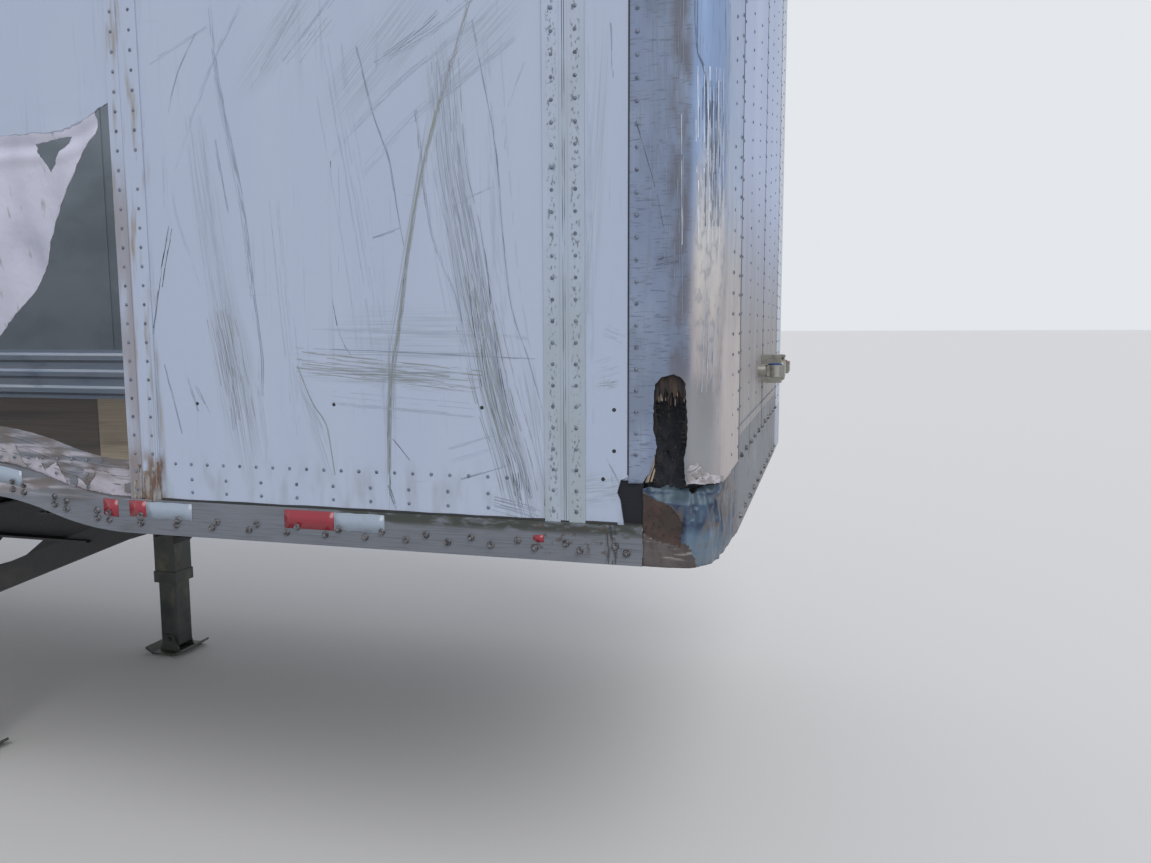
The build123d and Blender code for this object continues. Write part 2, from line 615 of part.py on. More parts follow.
# Upper coupler: a bearing plate on stringers, with the kingpin welded through it
PLATE_TOP = RAIL_BOTTOM + RAIL_T + COUPLER_T
with BuildPart() as upper_coupler:
    y0, y1 = station(COUPLER_START), station(COUPLER_START + COUPLER_LENGTH)
    block(-COUPLER_WIDTH / 2, COUPLER_WIDTH / 2, y0, y1, PLATE_TOP - COUPLER_T, PLATE_TOP)
    for i in range(5):
        y = y0 + 40 + i * (COUPLER_LENGTH - 80) / 4
        broken = CRUSH_ROOM if i == 0 else 0.0
        block(-FLANGE_IN + SEAT + broken, FLANGE_IN - SEAT, y - 25, y + 25, PLATE_TOP, CROSS_TOP)
    with BuildSketch(Plane.XY.offset(PLATE_TOP - COUPLER_T)) as throat:
        with Locations((0, station(KINGPIN_STATION))):
            Circle(KINGPIN_HEAD_R + SEAT)
    extrude(throat.sketch, amount=CROSS_DEPTH, mode=Mode.SUBTRACT)
finish(upper_coupler, "upper_coupler")

NECK_TOP = PLATE_TOP - COUPLER_T
NECK = 46.0  # middle of the pin's neck below the coupler's plate
NECK_HALF = 16.0
PIN_TIP = 84.0
PIN_ROOT = 20.0
with BuildPart() as kingpin:
    top, low = NECK_TOP - NECK + NECK_HALF, NECK_TOP - NECK - NECK_HALF
    with BuildSketch(Plane.XZ) as half:
        with BuildLine():
            Polyline((0, CROSS_TOP - PIN_ROOT), (KINGPIN_HEAD_R, CROSS_TOP - PIN_ROOT),
                     (KINGPIN_HEAD_R, top + 10), (KINGPIN_R, top), (KINGPIN_R, low), (KINGPIN_HEAD_R, low - 2),
                     (KINGPIN_HEAD_R, NECK_TOP - PIN_TIP), (0, NECK_TOP - PIN_TIP), close=True)
        make_face()
    revolve(half.sketch, axis=Axis.Z)
    kingpin.part.position = (0, station(KINGPIN_STATION), 0)
finish(kingpin, "kingpin")

# Landing gear: two telescopic legs on sand shoes, hung from beams under the crossmembers, braced forward
# and across, and cranked from the left
LEG_TOP = CROSS_BOTTOM - SEAT
LEG_FOOT = 380.0
LEG_PLATE_T = 10.0
LEG_PLATE_X = 150.0
LEG_PLATE_Y = 100.0
SHOE_T = 10.0
SHOE_BEND = 45.0
SHOE_LUG = 8.0
SHOE_PIN_R = 12.0
SHOE_PIN_Z = 70.0
COLLAR_HEIGHT = 60.0
with BuildPart() as landing_legs:
    for side in (-1, 1):
        x, y = side * LEG_OUT, station(LEG_STATION)
        for half, low, high in ((LEG_TUBE / 2, LEG_FOOT, LEG_TOP), (LEG_INNER / 2, SHOE_PIN_Z - 30, LEG_FOOT),
                                (LEG_TUBE / 2 + 5, LEG_FOOT, LEG_FOOT + COLLAR_HEIGHT)):
            with Locations((x, y, (low + high) / 2)):
                Box(2 * half, 2 * half, high - low)
        block(x - LEG_PLATE_X, x + LEG_PLATE_X, y - LEG_PLATE_Y, y + LEG_PLATE_Y, LEG_TOP - LEG_PLATE_T, LEG_TOP)
finish(landing_legs, "landing_legs")

with BuildPart() as landing_shoes:
    for side in (-1, 1):
        x, y = side * LEG_OUT, station(LEG_STATION)
        half, flat = SHOE_LENGTH / 2, SHOE_LENGTH / 2 - SHOE_BEND
        sole = [(y - half, SHOE_RISE), (y - flat, 0), (y + flat, 0), (y + half, SHOE_RISE),
                (y + half - 4, SHOE_RISE + SHOE_T), (y + flat - 3, SHOE_T), (y - flat + 3, SHOE_T),
                (y - half + 4, SHOE_RISE + SHOE_T)]
        prism(side_on(x - SHOE_WIDTH / 2), sole, SHOE_WIDTH)
        for ear in (-1, 1):
            start = x + ear * (LEG_INNER / 2 + SEAT) + (0 if ear > 0 else -SHOE_LUG)
            lug = [(y - 60, SHOE_T - 1), (y + 60, SHOE_T - 1), (y + 28, SHOE_PIN_Z + 24), (y - 28, SHOE_PIN_Z + 24)]
            prism(side_on(start), lug, SHOE_LUG)
            with Locations(Location((x + ear * (LEG_INNER / 2 + SEAT + SHOE_LUG + 6), y, SHOE_PIN_Z), (0, 90, 0))):
                Cylinder(SHOE_PIN_R, 14)
finish(landing_shoes, "landing_shoes")


def strut(x0, z0, x1, z1, y, width, thickness):
    """A flat bar across the trailer between two points, standing on edge."""
    run, rise = x1 - x0, z1 - z0
    length = hypot(run, rise)
    nx, nz = -rise / length * width / 2, run / length * width / 2
    points = [(x0 + nx, z0 + nz), (x1 + nx, z1 + nz), (x1 - nx, z1 - nz), (x0 - nx, z0 - nz)]
    prism(across(y), points, -thickness)


def long_strut(x, y0, z0, y1, z1, width, thickness):
    """A flat bar along the trailer between two points, standing on edge."""
    run, rise = y1 - y0, z1 - z0
    length = hypot(run, rise)
    ny, nz = -rise / length * width / 2, run / length * width / 2
    points = [(y0 + ny, z0 + nz), (y1 + ny, z1 + nz), (y1 - ny, z1 - nz), (y0 - ny, z0 - nz)]
    prism(side_on(x), points, thickness)


BEAM_LOW = LEG_TOP - BEAM_DEPTH
DRAG_HIGH_Z = 1100.0
DRAG_LOW_Z = 684.0
GUSSET_END = 2740.0
GUSSET_LOW = 843.0
TIE_Z = 700.0
TIE_WIDTH = 60.0
TIE_T = 8.0
with BuildPart() as landing_braces:
    leg_y = station(LEG_STATION)
    leg_face = leg_y - LEG_TUBE / 2 - SEAT
    plate_face = leg_y - LEG_PLATE_Y - SEAT
    front = station(BEAM_START)
    for side in (-1, 1):
        x = side * LEG_OUT
        under = LEG_TOP - LEG_PLATE_T - SEAT
        web = [(front, LEG_TOP), (plate_face, LEG_TOP), (plate_face, under), (leg_face, under),
               (leg_face, BEAM_LOW), (front + 40, BEAM_LOW), (front, BEAM_LOW + 50)]
        prism(side_on(x - BEAM_T / 2), web, BEAM_T)
        block(x - BEAM_WIDTH / 2, x + BEAM_WIDTH / 2, front, plate_face, LEG_TOP - BEAM_T, LEG_TOP)
        block(x - BEAM_WIDTH / 2, x + BEAM_WIDTH / 2, front + 40, leg_face, BEAM_LOW, BEAM_LOW + BEAM_T)
        long_strut(x - DRAG_BOX / 2, station(DRAG_START), DRAG_HIGH_Z, leg_face - 30, DRAG_LOW_Z,
                   DRAG_WIDTH, DRAG_BOX)
        block(x - LEG_TUBE / 2, x + LEG_TUBE / 2, leg_face - BEAM_T, leg_face, DRAG_LOW_Z - 90, DRAG_LOW_Z + 90)
        block(x - DRAG_BOX / 2, x + DRAG_BOX / 2, leg_face - 80, leg_face, DRAG_LOW_Z - 60, DRAG_LOW_Z + 40)
        block(x - 50, x + 50, station(DRAG_START - 45), station(DRAG_START + 135), LEG_TOP - BEAM_T, LEG_TOP)
        block(x - DRAG_BOX / 2, x + DRAG_BOX / 2, station(DRAG_START - 20), station(DRAG_START + 60),
              DRAG_HIGH_Z, LEG_TOP)
        gusset = [(front + 60, BEAM_LOW + 1), (station(2622.0), BEAM_LOW + 1), (station(GUSSET_END), GUSSET_LOW),
                  (station(GUSSET_END), GUSSET_LOW - 60), (station(2500.0), GUSSET_LOW + 20)]
        prism(side_on(x - BEAM_T / 2), gusset, BEAM_T)
    span = LEG_OUT - LEG_TUBE / 2 - SEAT
    strut(-span, TIE_Z, span, TIE_Z, leg_y - TIE_T / 2, TIE_WIDTH, TIE_T)
    for side in (-1, 1):
        strut(side * (span - 40), TIE_Z + 60, side * 60, LEG_TOP - 30, leg_y - TIE_T / 2, 50, TIE_T)
        block(side * span, side * (span - 60), leg_y - TIE_T / 2, leg_y + TIE_T / 2, TIE_Z - 60, TIE_Z + 100)
    tie_beam = CROSS_START + round((LEG_STATION - CROSS_START) / CROSS_PITCH) * CROSS_PITCH
    block(-110, 110, min(leg_y, station(tie_beam)) - 40, max(leg_y, station(tie_beam)) + 40, LEG_TOP - 12, LEG_TOP)
    block(-100, 100, leg_y - TIE_T / 2, leg_y + TIE_T / 2, LEG_TOP - 60, LEG_TOP - 12)
finish(landing_braces, "landing_braces")

SHAFT_Z = 960.0
SHAFT_R = 16.0
GEAR_HALF = 55.0
GEAR_DEPTH = 64.0
GEAR_HEIGHT = 140.0
CRANK_THROW = 340.0
CRANK_SHAFT = 240.0
with BuildPart() as landing_crank:
    gear_face = station(LEG_STATION) + LEG_TUBE / 2 + SEAT
    y = gear_face + GEAR_DEPTH / 2
    for side in (-1, 1):
        x = side * LEG_OUT
        block(x - GEAR_HALF, x + GEAR_HALF, gear_face, gear_face + GEAR_DEPTH, SHAFT_Z - GEAR_HEIGHT / 2,
              SHAFT_Z + GEAR_HEIGHT / 2)
    end = LEG_OUT + GEAR_HALF + CRANK_SHAFT
    for start, stop, z in ((-LEG_OUT, LEG_OUT, SHAFT_Z), (LEG_OUT, end, SHAFT_Z),
                           (end - 6, end + 110, SHAFT_Z - CRANK_THROW)):
        with Locations(Location(((start + stop) / 2, y, z), (0, 90, 0))):
            Cylinder(SHAFT_R, stop - start)
    block(end - 12, end, y - 20, y + 20, SHAFT_Z - CRANK_THROW - 20, SHAFT_Z + 20)
finish(landing_crank, "landing_crank")

# Slider rails under the crossmembers, with the pin holes that set the bogie's place
SLIDER_TOP = CROSS_BOTTOM - SEAT
SLIDER_LOW = SLIDER_TOP - SLIDER_DEPTH
SLIDER_WALL = 8.0
with BuildPart() as slider_rails:
    for side in (-1, 1):
        out, inn = side * (FRAME_X + SLIDER_WIDTH / 2), side * (FRAME_X - SLIDER_WIDTH / 2)
        wall = side * SLIDER_WALL
        zs = [(out, SLIDER_TOP), (inn, SLIDER_TOP), (inn, SLIDER_TOP - SLIDER_WALL),
              (out - wall, SLIDER_TOP - SLIDER_WALL), (out - wall, SLIDER_LOW + SLIDER_WALL),
              (inn, SLIDER_LOW + SLIDER_WALL), (inn, SLIDER_LOW), (out, SLIDER_LOW)]
        prism(across(station(SLIDER_START)), zs, -(SLIDER_END - SLIDER_START))
    hole_count = int((SLIDER_END - SLIDER_START - 200) // 152.4)
    for i in range(hole_count):
        with Locations(Location((0, station(SLIDER_START + 100 + i * 152.4), SLIDER_TOP - SLIDER_DEPTH / 2),
                                (0, 90, 0))):
            Cylinder(14, 2 * FRAME_X + 2 * SLIDER_WIDTH, mode=Mode.SUBTRACT)
finish(slider_rails, "slider_rails")

# Bogie: two side rails, three cross tubes and six spring hangers
AXLE_Z = TYRE_R
AXLES = [REAR_AXLE - AXLE_SPACING, REAR_AXLE]
BOGIE_TOP = SLIDER_LOW - SEAT
BOGIE_LOW = BOGIE_TOP - BOGIE_DEPTH
BOGIE_MID = REAR_AXLE - AXLE_SPACING / 2
BOGIE_HALF = 1270.0
HANGER_LOW = 640.0
LEAF_T = 18.0
LEAF_W = 76.0
SPRING_SEAT = AXLE_Z + AXLE_R + 42.0
LEAF_RISE = 30.0
PAD_Z = SPRING_SEAT + 3 * LEAF_T + LEAF_RISE + SEAT
PAD_T = 40.0
HANGER_OUT = 46.0  # cheeks of a hanger, out from the middle of its spring
CROSS_TUBE = 90.0
FRAME_HALF = 50.0
HANGERS = [  # station, half length at the top and at the foot
    (BOGIE_MID - AXLE_SPACING, 150.0, 55.0),
    (BOGIE_MID, 190.0, 80.0),
    (BOGIE_MID + AXLE_SPACING, 150.0, 55.0),
]
with BuildPart() as bogie_frame:
    for side in (-1, 1):
        x0, x1 = side * (FRAME_X - FRAME_HALF), side * (FRAME_X + FRAME_HALF)
        block(x0, x1, station(BOGIE_MID - BOGIE_HALF), station(BOGIE_MID + BOGIE_HALF), BOGIE_LOW, BOGIE_TOP)
        wall = side * BOGIE_T
        block(x0 - wall, x1 - wall, station(BOGIE_MID - BOGIE_HALF) - 1, station(BOGIE_MID + BOGIE_HALF) + 1,
              BOGIE_LOW + BOGIE_T, BOGIE_TOP - BOGIE_T, mode=Mode.SUBTRACT)
        for at, half_top, half_low in HANGERS:
            y = station(at)
            hanger = [(y - half_top, BOGIE_LOW), (y + half_top, BOGIE_LOW), (y + half_low, HANGER_LOW),
                      (y - half_low, HANGER_LOW)]
            for cheek in (-1, 1):
                start = side * FRAME_X + cheek * HANGER_OUT - BOGIE_T / 2
                prism(side_on(start), hanger, BOGIE_T)
            block(side * FRAME_X - HANGER_OUT, side * FRAME_X + HANGER_OUT, y - half_low + BOGIE_T,
                  y + half_low - BOGIE_T, PAD_Z, PAD_Z + PAD_T)
    for at, half_top, half_low in HANGERS:
        block(-FRAME_X + HANGER_OUT, FRAME_X - HANGER_OUT, station(at) - CROSS_TUBE / 2, station(at) + CROSS_TUBE / 2,
              BOGIE_LOW, BOGIE_TOP - BOGIE_T)
finish(bogie_frame, "bogie_frame")

# Springs: one short stack of leaves over each axle end, with the equaliser between the axles
SPRING_HALF = 570.0
LEAF_R = (SPRING_HALF ** 2 + LEAF_RISE ** 2) / (2 * LEAF_RISE)
LEAVES = (1.0, 0.8, 0.5)  # half length of each leaf as a share of the longest, from the top
CLAMP_HALF = 60.0
CLAMP_T = 14.0


def leaf(side, at, order, share):
    """One leaf, concentric with the others."""
    turn = degrees(share * SPRING_HALF / LEAF_R)
    upper = LEAF_R + order * LEAF_T
    middle = (station(at), SPRING_SEAT + len(LEAVES) * LEAF_T + LEAF_R)
    with BuildSketch(side_on(side * FRAME_X - LEAF_W / 2)) as outline:
        with BuildLine():
            top = CenterArc(middle, upper, 270 - turn, 2 * turn)
            low = CenterArc(middle, upper + LEAF_T, 270 - turn, 2 * turn)
            Line(top @ 0, low @ 0)
            Line(top @ 1, low @ 1)
        make_face()
    extrude(outline.sketch, amount=LEAF_W)


with BuildPart() as springs:
    stack = SPRING_SEAT + len(LEAVES) * LEAF_T
    for side in (-1, 1):
        x0, x1 = side * FRAME_X - CLAMP_HALF, side * FRAME_X + CLAMP_HALF
        for at in AXLES:
            y = station(at)
            for order, share in enumerate(LEAVES):
                leaf(side, at, order, share)
            block(x0, x1, y - 80, y + 80, AXLE_Z + AXLE_R + SEAT, SPRING_SEAT + 2)
            block(x0, x1, y - 70, y + 70, stack - 1, stack + CLAMP_T)
finish(springs, "springs")

# Axles: a round tube between tapered spindles, with the brake chambers and slack adjusters behind it
HUB_IN = 640.0
SPINDLE_END = 1010.0
with BuildPart() as axles:
    for at in AXLES:
        with Locations(Location((0, station(at), AXLE_Z), (0, 90, 0))):
            Cylinder(AXLE_R, 2 * HUB_IN)
            Cylinder(SPINDLE_R, 2 * SPINDLE_END)
finish(axles, "axles")

CHAMBER_X = 330.0
CHAMBER_Y = -210.0  # ahead of its axle
CHAMBER_Z = AXLE_Z + 40.0
CHAMBER_PARTS = [  # middle ahead or behind the chamber's, radius, length
    (0.0, 84.0, 150.0),
    (-130.0, 80.0, 110.0),
    (80.0, 16.0, 30.0),
]
CAM_SHAFT_X = 470.0
CAM_SHAFT_Y = -110.0
CAM_SHAFT_R = 20.0
CAM_SHAFT_LENGTH = 320.0
with BuildPart() as brake_chambers:
    for at in AXLES:
        for side in (-1, 1):
            x, y, cam = side * CHAMBER_X, station(at) + CHAMBER_Y, station(at) + CAM_SHAFT_Y
            for offset, radius, length in CHAMBER_PARTS:
                with Locations(Location((x, y + offset, CHAMBER_Z), (90, 0, 0))):
                    Cylinder(radius, length)
            with Locations(Location((side * CAM_SHAFT_X, cam, AXLE_Z + 10), (0, 90, 0))):
                Cylinder(CAM_SHAFT_R, CAM_SHAFT_LENGTH)
            block(x - 15, x + 15, cam - 20, cam + 20, AXLE_Z - 20, CHAMBER_Z + 22)
            block(side * 300, side * 312, y + 76, station(at) - AXLE_R - SEAT, AXLE_Z - 40, AXLE_Z + 40)
finish(brake_chambers, "brake_chambers")

# Twin wheels: each is two tyres, two rims, a hub and a drum on one spindle
TYRE_FACE = HALF - TYRE_INSET
TYRE_CENTRES = (TYRE_FACE - TYRE_W / 2 - DUAL_SPACING, TYRE_FACE - TYRE_W / 2)
TYRE_BEAD_R = RIM_R + SEAT
TREAD_HALF = 112.0
BEAD_HALF = 100.0
RIM_T = 12.0
RIM_HALF = 107.0
HAND_HOLES = 5
HAND_HOLE_R = 27.0
HAND_HOLE_RING = 236.0
GROOVES = (-68.0, -23.0, 23.0, 68.0)
GROOVE_W = 10.0
GROOVE_DEPTH = 12.0
DISC_T = 12.0
DISC_FLAT_R = 196.0
DISC_RISE = 74.0  # how far the disc's rim stands from the disc's middle towards its tyre
CAP_R = 84.0
CAP_END = 150.0
DRUM_END = -140.0


def ring(points, side, x, at):
    """Revolve a half section, given as distance from the tyre's middle and radius, round the spindle."""
    with BuildSketch(Plane.XY) as section:
        with BuildLine():
            Polyline(*[(side * (x + along), radius) for along, radius in points], close=True)
        make_face()
    body = revolve(section.sketch, axis=Axis.X, mode=Mode.PRIVATE)
    add(body.moved(Location((0, station(at), AXLE_Z))))


def tyre_section():
    """Half section of a tyre: a grooved tread, bulging sidewalls and beads."""
    half = TYRE_W / 2
    flank = [(TREAD_HALF, TYRE_R - 4), (half - 8, TYRE_R - 40), (half, TYRE_R - 90), (half - 18, RIM_R + 30),
             (BEAD_HALF, RIM_R + 22), (BEAD_HALF, TYRE_BEAD_R)]
    tread = []
    for middle in GROOVES:
        low, high = middle - GROOVE_W / 2, middle + GROOVE_W / 2
        tread += [(low, TYRE_R), (low, TYRE_R - GROOVE_DEPTH), (high, TYRE_R - GROOVE_DEPTH), (high, TYRE_R)]
    return tread + flank + [(-x, radius) for x, radius in flank[::-1]]


for number, at in enumerate(AXLES, start=1):
    for side, place in ((1, "left"), (-1, "right")):
        with BuildPart() as tyres:
            for x in TYRE_CENTRES:
                ring(tyre_section(), side, x, at)
        finish(tyres, f"tyres_{number}_{place}")
        with BuildPart() as wheels:
            inner, outer = TYRE_CENTRES
            disc = (inner + outer) / 2
            for x, turn in ((inner, 1), (outer, -1)):
                face = (disc - x) * turn
                lip, flange_r = BEAD_HALF + SEAT, RIM_R + 18
                barrel = [(-RIM_HALF, flange_r), (-lip, flange_r), (-lip, RIM_R), (lip, RIM_R), (lip, flange_r),
                          (RIM_HALF, flange_r), (RIM_HALF, RIM_R - RIM_T), (-RIM_HALF, RIM_R - RIM_T)]
                ring(barrel, side, x, at)
                near, far, seat_r = disc - x - turn, disc - x - turn * (1 + DISC_T), RIM_R - RIM_T + 2
                dish = [(near, HUB_R - 1), (near, DISC_FLAT_R), (turn * DISC_RISE, seat_r),
                        (turn * (DISC_RISE - DISC_T - 2), seat_r), (far, DISC_FLAT_R - 6), (far, HUB_R - 1)]
                ring(dish, side, x, at)
            inboard, outboard = HUB_IN - disc + SEAT, SPINDLE_END - disc + 8
            hub = [(inboard, SPINDLE_R + SEAT), (inboard, DRUM_R), (DRUM_END, DRUM_R), (DRUM_END, HUB_R),
                   (CAP_END - 80, HUB_R), (CAP_END - 80, CAP_R), (CAP_END, CAP_R - 8), (CAP_END, 0),
                   (outboard, 0), (outboard, SPINDLE_R + SEAT)]
            ring(hub, side, disc, at)
            with Locations(Location((side * disc, station(at), AXLE_Z), (0, 90, 0))):
                with PolarLocations(HAND_HOLE_RING, HAND_HOLES):
                    Cylinder(HAND_HOLE_R, 2 * RIM_HALF, mode=Mode.SUBTRACT)
        finish(wheels, f"wheels_{number}_{place}")

# Air tank, mud flaps and the rear impact guard
TANK_R = 120.0
TANK_LENGTH = 700.0
TANK_AHEAD = 520.0
TANK_DROP = 150.0
with BuildPart() as air_tank:
    tank = station(BOGIE_MID - BOGIE_HALF - TANK_AHEAD)
    with Locations(Location((0, tank, CROSS_BOTTOM - TANK_DROP), (0, 90, 0))):
        Cylinder(TANK_R, TANK_LENGTH)
    for x in (-220, 220):
        block(x - 20, x + 20, tank - 30, tank + 30, CROSS_BOTTOM - TANK_R / 2, CROSS_BOTTOM - SEAT)
finish(air_tank, "air_tank")

FLAP_BEAM = round((REAR_AXLE + 700.0 - CROSS_START) / CROSS_PITCH)
FLAP_STATION = CROSS_START + FLAP_BEAM * CROSS_PITCH - 28.0
FLAP_FOOT = 300.0
FLAP_T = 8.0
BRACKET_DROP = 140.0
BRACKET_T = 40.0
with BuildPart() as mud_flaps:
    for side in (-1, 1):
        y = station(FLAP_STATION)
        block(side * 660, side * 1270, y, y + FLAP_T, FLAP_FOOT, CROSS_BOTTOM - 60)
        block(side * 640, side * (HALF - RAIL_FOOT - 10), y + FLAP_T, y + FLAP_T + BRACKET_T,
              CROSS_BOTTOM - BRACKET_DROP, CROSS_BOTTOM - SEAT)
finish(mud_flaps, "mud_flaps")

GUARD_LOW = 460.0
GUARD_BAR = 100.0
GUARD_HALF = HALF - 105.0
GUARD_POST = 530.0
with BuildPart() as rear_guard:
    low, back = GUARD_LOW, TAIL - 20
    block(-GUARD_HALF, GUARD_HALF, back - GUARD_BAR, back, low, low + GUARD_BAR)
    for x in (-GUARD_POST, GUARD_POST):
        block(x - GUARD_BAR / 2, x + GUARD_BAR / 2, back - GUARD_BAR, back, low + GUARD_BAR - 1, RAIL_BOTTOM - SEAT)
finish(rear_guard, "rear_guard")

# Rear frame: two posts, header and sill, with keepers beside the ends of the lock rods
ROD_PLACES = (260.0, 820.0)  # out from the middle
KEEPER_REACH = 22.0
KEEPER_W = 12.0
KEEPER_HEIGHT = 44.0
with BuildPart() as rear_frame:
    y0, y1 = TAIL - REAR_POST_Y, TAIL
    block(-HALF, HALF, y0, y1, RAIL_BOTTOM, HEIGHT)
    block(-HALF + REAR_POST_X, HALF - REAR_POST_X, y0 - 1, y1 + 1, RAIL_BOTTOM + SILL_HEIGHT,
          HEIGHT - HEADER_HEIGHT, mode=Mode.SUBTRACT)
    for side in (-1, 1):
        for place in ROD_PLACES:
            for lug in (-1, 1):
                near = side * place + lug * (ROD_R + RUNNING_GAP)
                for z in (RAIL_BOTTOM + SILL_HEIGHT - KEEPER_HEIGHT, HEIGHT - HEADER_HEIGHT):
                    block(near, near + lug * KEEPER_W, TAIL - 1, TAIL + KEEPER_REACH, z, z + KEEPER_HEIGHT)
finish(rear_frame, "rear_frame")

with BuildPart() as dock_bumpers:
    for x in (-HALF + 90, HALF - 90, -300, 300):
        block(x - 60, x + 60, TAIL + SEAT, TAIL + BUMPER_REACH, RAIL_BOTTOM, RAIL_BOTTOM + 90)
finish(dock_bumpers, "dock_bumpers")

# Doors: each leaf swings on a row of strap hinges whose pins stand behind the post
DOOR_LOW = RAIL_BOTTOM + SILL_HEIGHT + RUNNING_GAP
DOOR_HIGH = HEIGHT - HEADER_HEIGHT - RUNNING_GAP
DOOR_EDGE = HALF - REAR_POST_X - RUNNING_GAP
PIN_X = HALF - PIN_INSET
PIN_Y = TAIL + PIN_BACK
ROD_OVERLAP = 30.0  # the rods run this far past the doors, between the keepers
HANDLE_HEIGHTS = (700.0, 900.0)
HANDLE_LENGTH = 430.0
HINGE_LOW = DOOR_LOW + 130.0
HINGE_PITCH = (DOOR_HIGH - DOOR_LOW - 260.0 - HINGE_HEIGHT) / (HINGES - 1)
for side, place in ((1, "left"), (-1, "right")):
    with BuildPart() as door:
        block(side * RUNNING_GAP / 2, side * DOOR_EDGE, TAIL - DOOR_T, TAIL, DOOR_LOW, DOOR_HIGH)
    finish(door, f"door_{place}")
    with BuildPart() as straps:
        for i in range(HINGES):
            z0 = HINGE_LOW + i * HINGE_PITCH
            x1 = side * (DOOR_EDGE - STRAP_LENGTH)
            block(x1, side * (DOOR_EDGE - 10), TAIL + SEAT, TAIL + STRAP_T, z0, z0 + HINGE_HEIGHT)
            arm = [(DOOR_EDGE - 40, TAIL + 6), (DOOR_EDGE - 40, TAIL + 14), (PIN_X - 12, TAIL + 14),
                   (PIN_X - 12, PIN_Y + 4), (PIN_X - 2, PIN_Y + 4), (PIN_X - 2, TAIL + 6)]
            arm = [(side * x, y) for x, y in arm]
            prism(Plane.XY.offset(z0), arm, HINGE_HEIGHT)
            with Locations((side * PIN_X, PIN_Y, z0 + HINGE_HEIGHT / 2)):
                Cylinder(KNUCKLE_R, HINGE_HEIGHT)
                Cylinder(PIN_R + SEAT, HINGE_HEIGHT, mode=Mode.SUBTRACT)
    finish(straps, f"hinge_straps_{place}")
    with BuildPart() as butts:
        for i in range(HINGES):
            z0 = HINGE_LOW + i * HINGE_PITCH
            for low in (z0 - 26, z0 + HINGE_HEIGHT + 1):
                ear = [(side * (PIN_X - KNUCKLE_R), TAIL + SEAT), (side * (PIN_X + KNUCKLE_R), TAIL + SEAT),
                       (side * (PIN_X + KNUCKLE_R), PIN_Y), (side * (PIN_X - KNUCKLE_R), PIN_Y)]
                prism(Plane.XY.offset(low), ear, 25)
                with Locations((side * PIN_X, PIN_Y, low + 12.5)):
                    Cylinder(KNUCKLE_R, 25)
            with Locations((side * PIN_X, PIN_Y, z0 + HINGE_HEIGHT / 2)):
                Cylinder(PIN_R, HINGE_HEIGHT + 40)
    finish(butts, f"hinge_butts_{place}")
    with BuildPart() as rods:
        for out, handle, reach in zip(ROD_PLACES, HANDLE_HEIGHTS, (HANDLE_LENGTH, -HANDLE_LENGTH)):
            x, y = side * out, TAIL + ROD_OFF
            with Locations((x, y, (DOOR_LOW + DOOR_HIGH) / 2)):
                Cylinder(ROD_R, DOOR_HIGH - DOOR_LOW + 2 * ROD_OVERLAP)
            for z in (DOOR_LOW + 80, DOOR_LOW + 500, (DOOR_LOW + DOOR_HIGH) / 2, DOOR_HIGH - 500, DOOR_HIGH - 80):
                block(x - 32, x + 32, TAIL + SEAT, y, z - 25, z + 25)
            z = RAIL_BOTTOM + handle
            grip = x + side * reach
            block(x, grip, y - 4, y + 12, z - 20, z + 20)
            block(grip - 22, grip + 22, TAIL + SEAT, y - 4, z - 30, z + 30)
            block(x - 24, x + 24, TAIL + SEAT + 6, y + 20, z - 32, z + 32)
    finish(rods, f"lock_rods_{place}")

# Lamps and hose couplings
TAIL_LAMPS = (HALF - 230.0, HALF - 350.0)  # out from the middle
TAIL_LAMP_R = 52.0
TAIL_LAMP_T = 16.0
MARKER_PITCH = 160.0
MARKER_R = 30.0
MARKER_T = 12.0
with BuildPart() as lamps:
    spots = [(side * x, RAIL_BOTTOM + 90.0, TAIL_LAMP_R, TAIL_LAMP_T) for side in (-1, 1) for x in TAIL_LAMPS]
    spots += [(i * MARKER_PITCH, HEIGHT - 60.0, MARKER_R, MARKER_T) for i in (-1, 0, 1)]
    for x, z, radius, depth in spots:
        with Locations(Location((x, TAIL + SEAT + depth / 2, z), (90, 0, 0))):
            Cylinder(radius, depth)
finish(lamps, "lamps")

COUPLING_OUT = 180.0
COUPLING_HEIGHT = 420.0
COUPLING_R = 34.0
with BuildPart() as hose_couplings:
    z = RAIL_BOTTOM + COUPLING_HEIGHT
    for x in (-COUPLING_OUT, COUPLING_OUT):
        with Locations(Location((x, NOSE - SEAT - 30, z), (90, 0, 0))):
            Cylinder(22, 60)
        with Locations((x, NOSE - HOSE_REACH + COUPLING_R, z)):
            Cylinder(COUPLING_R, 40)
        block(x - 30, x + 30, NOSE - HOSE_REACH, NOSE - 30, z - 18, z + 18)
    block(-50, 50, NOSE - 70, NOSE - SEAT, z - 50, z + 50)
finish(hose_couplings, "hose_couplings")
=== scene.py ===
"""A plate walled van trailer with a wrecked front corner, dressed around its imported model."""

import math
import random

import bmesh
import bpy
from bpy.props import FloatProperty, FloatVectorProperty, IntProperty, PointerProperty
from mathutils import Matrix, Vector, noise


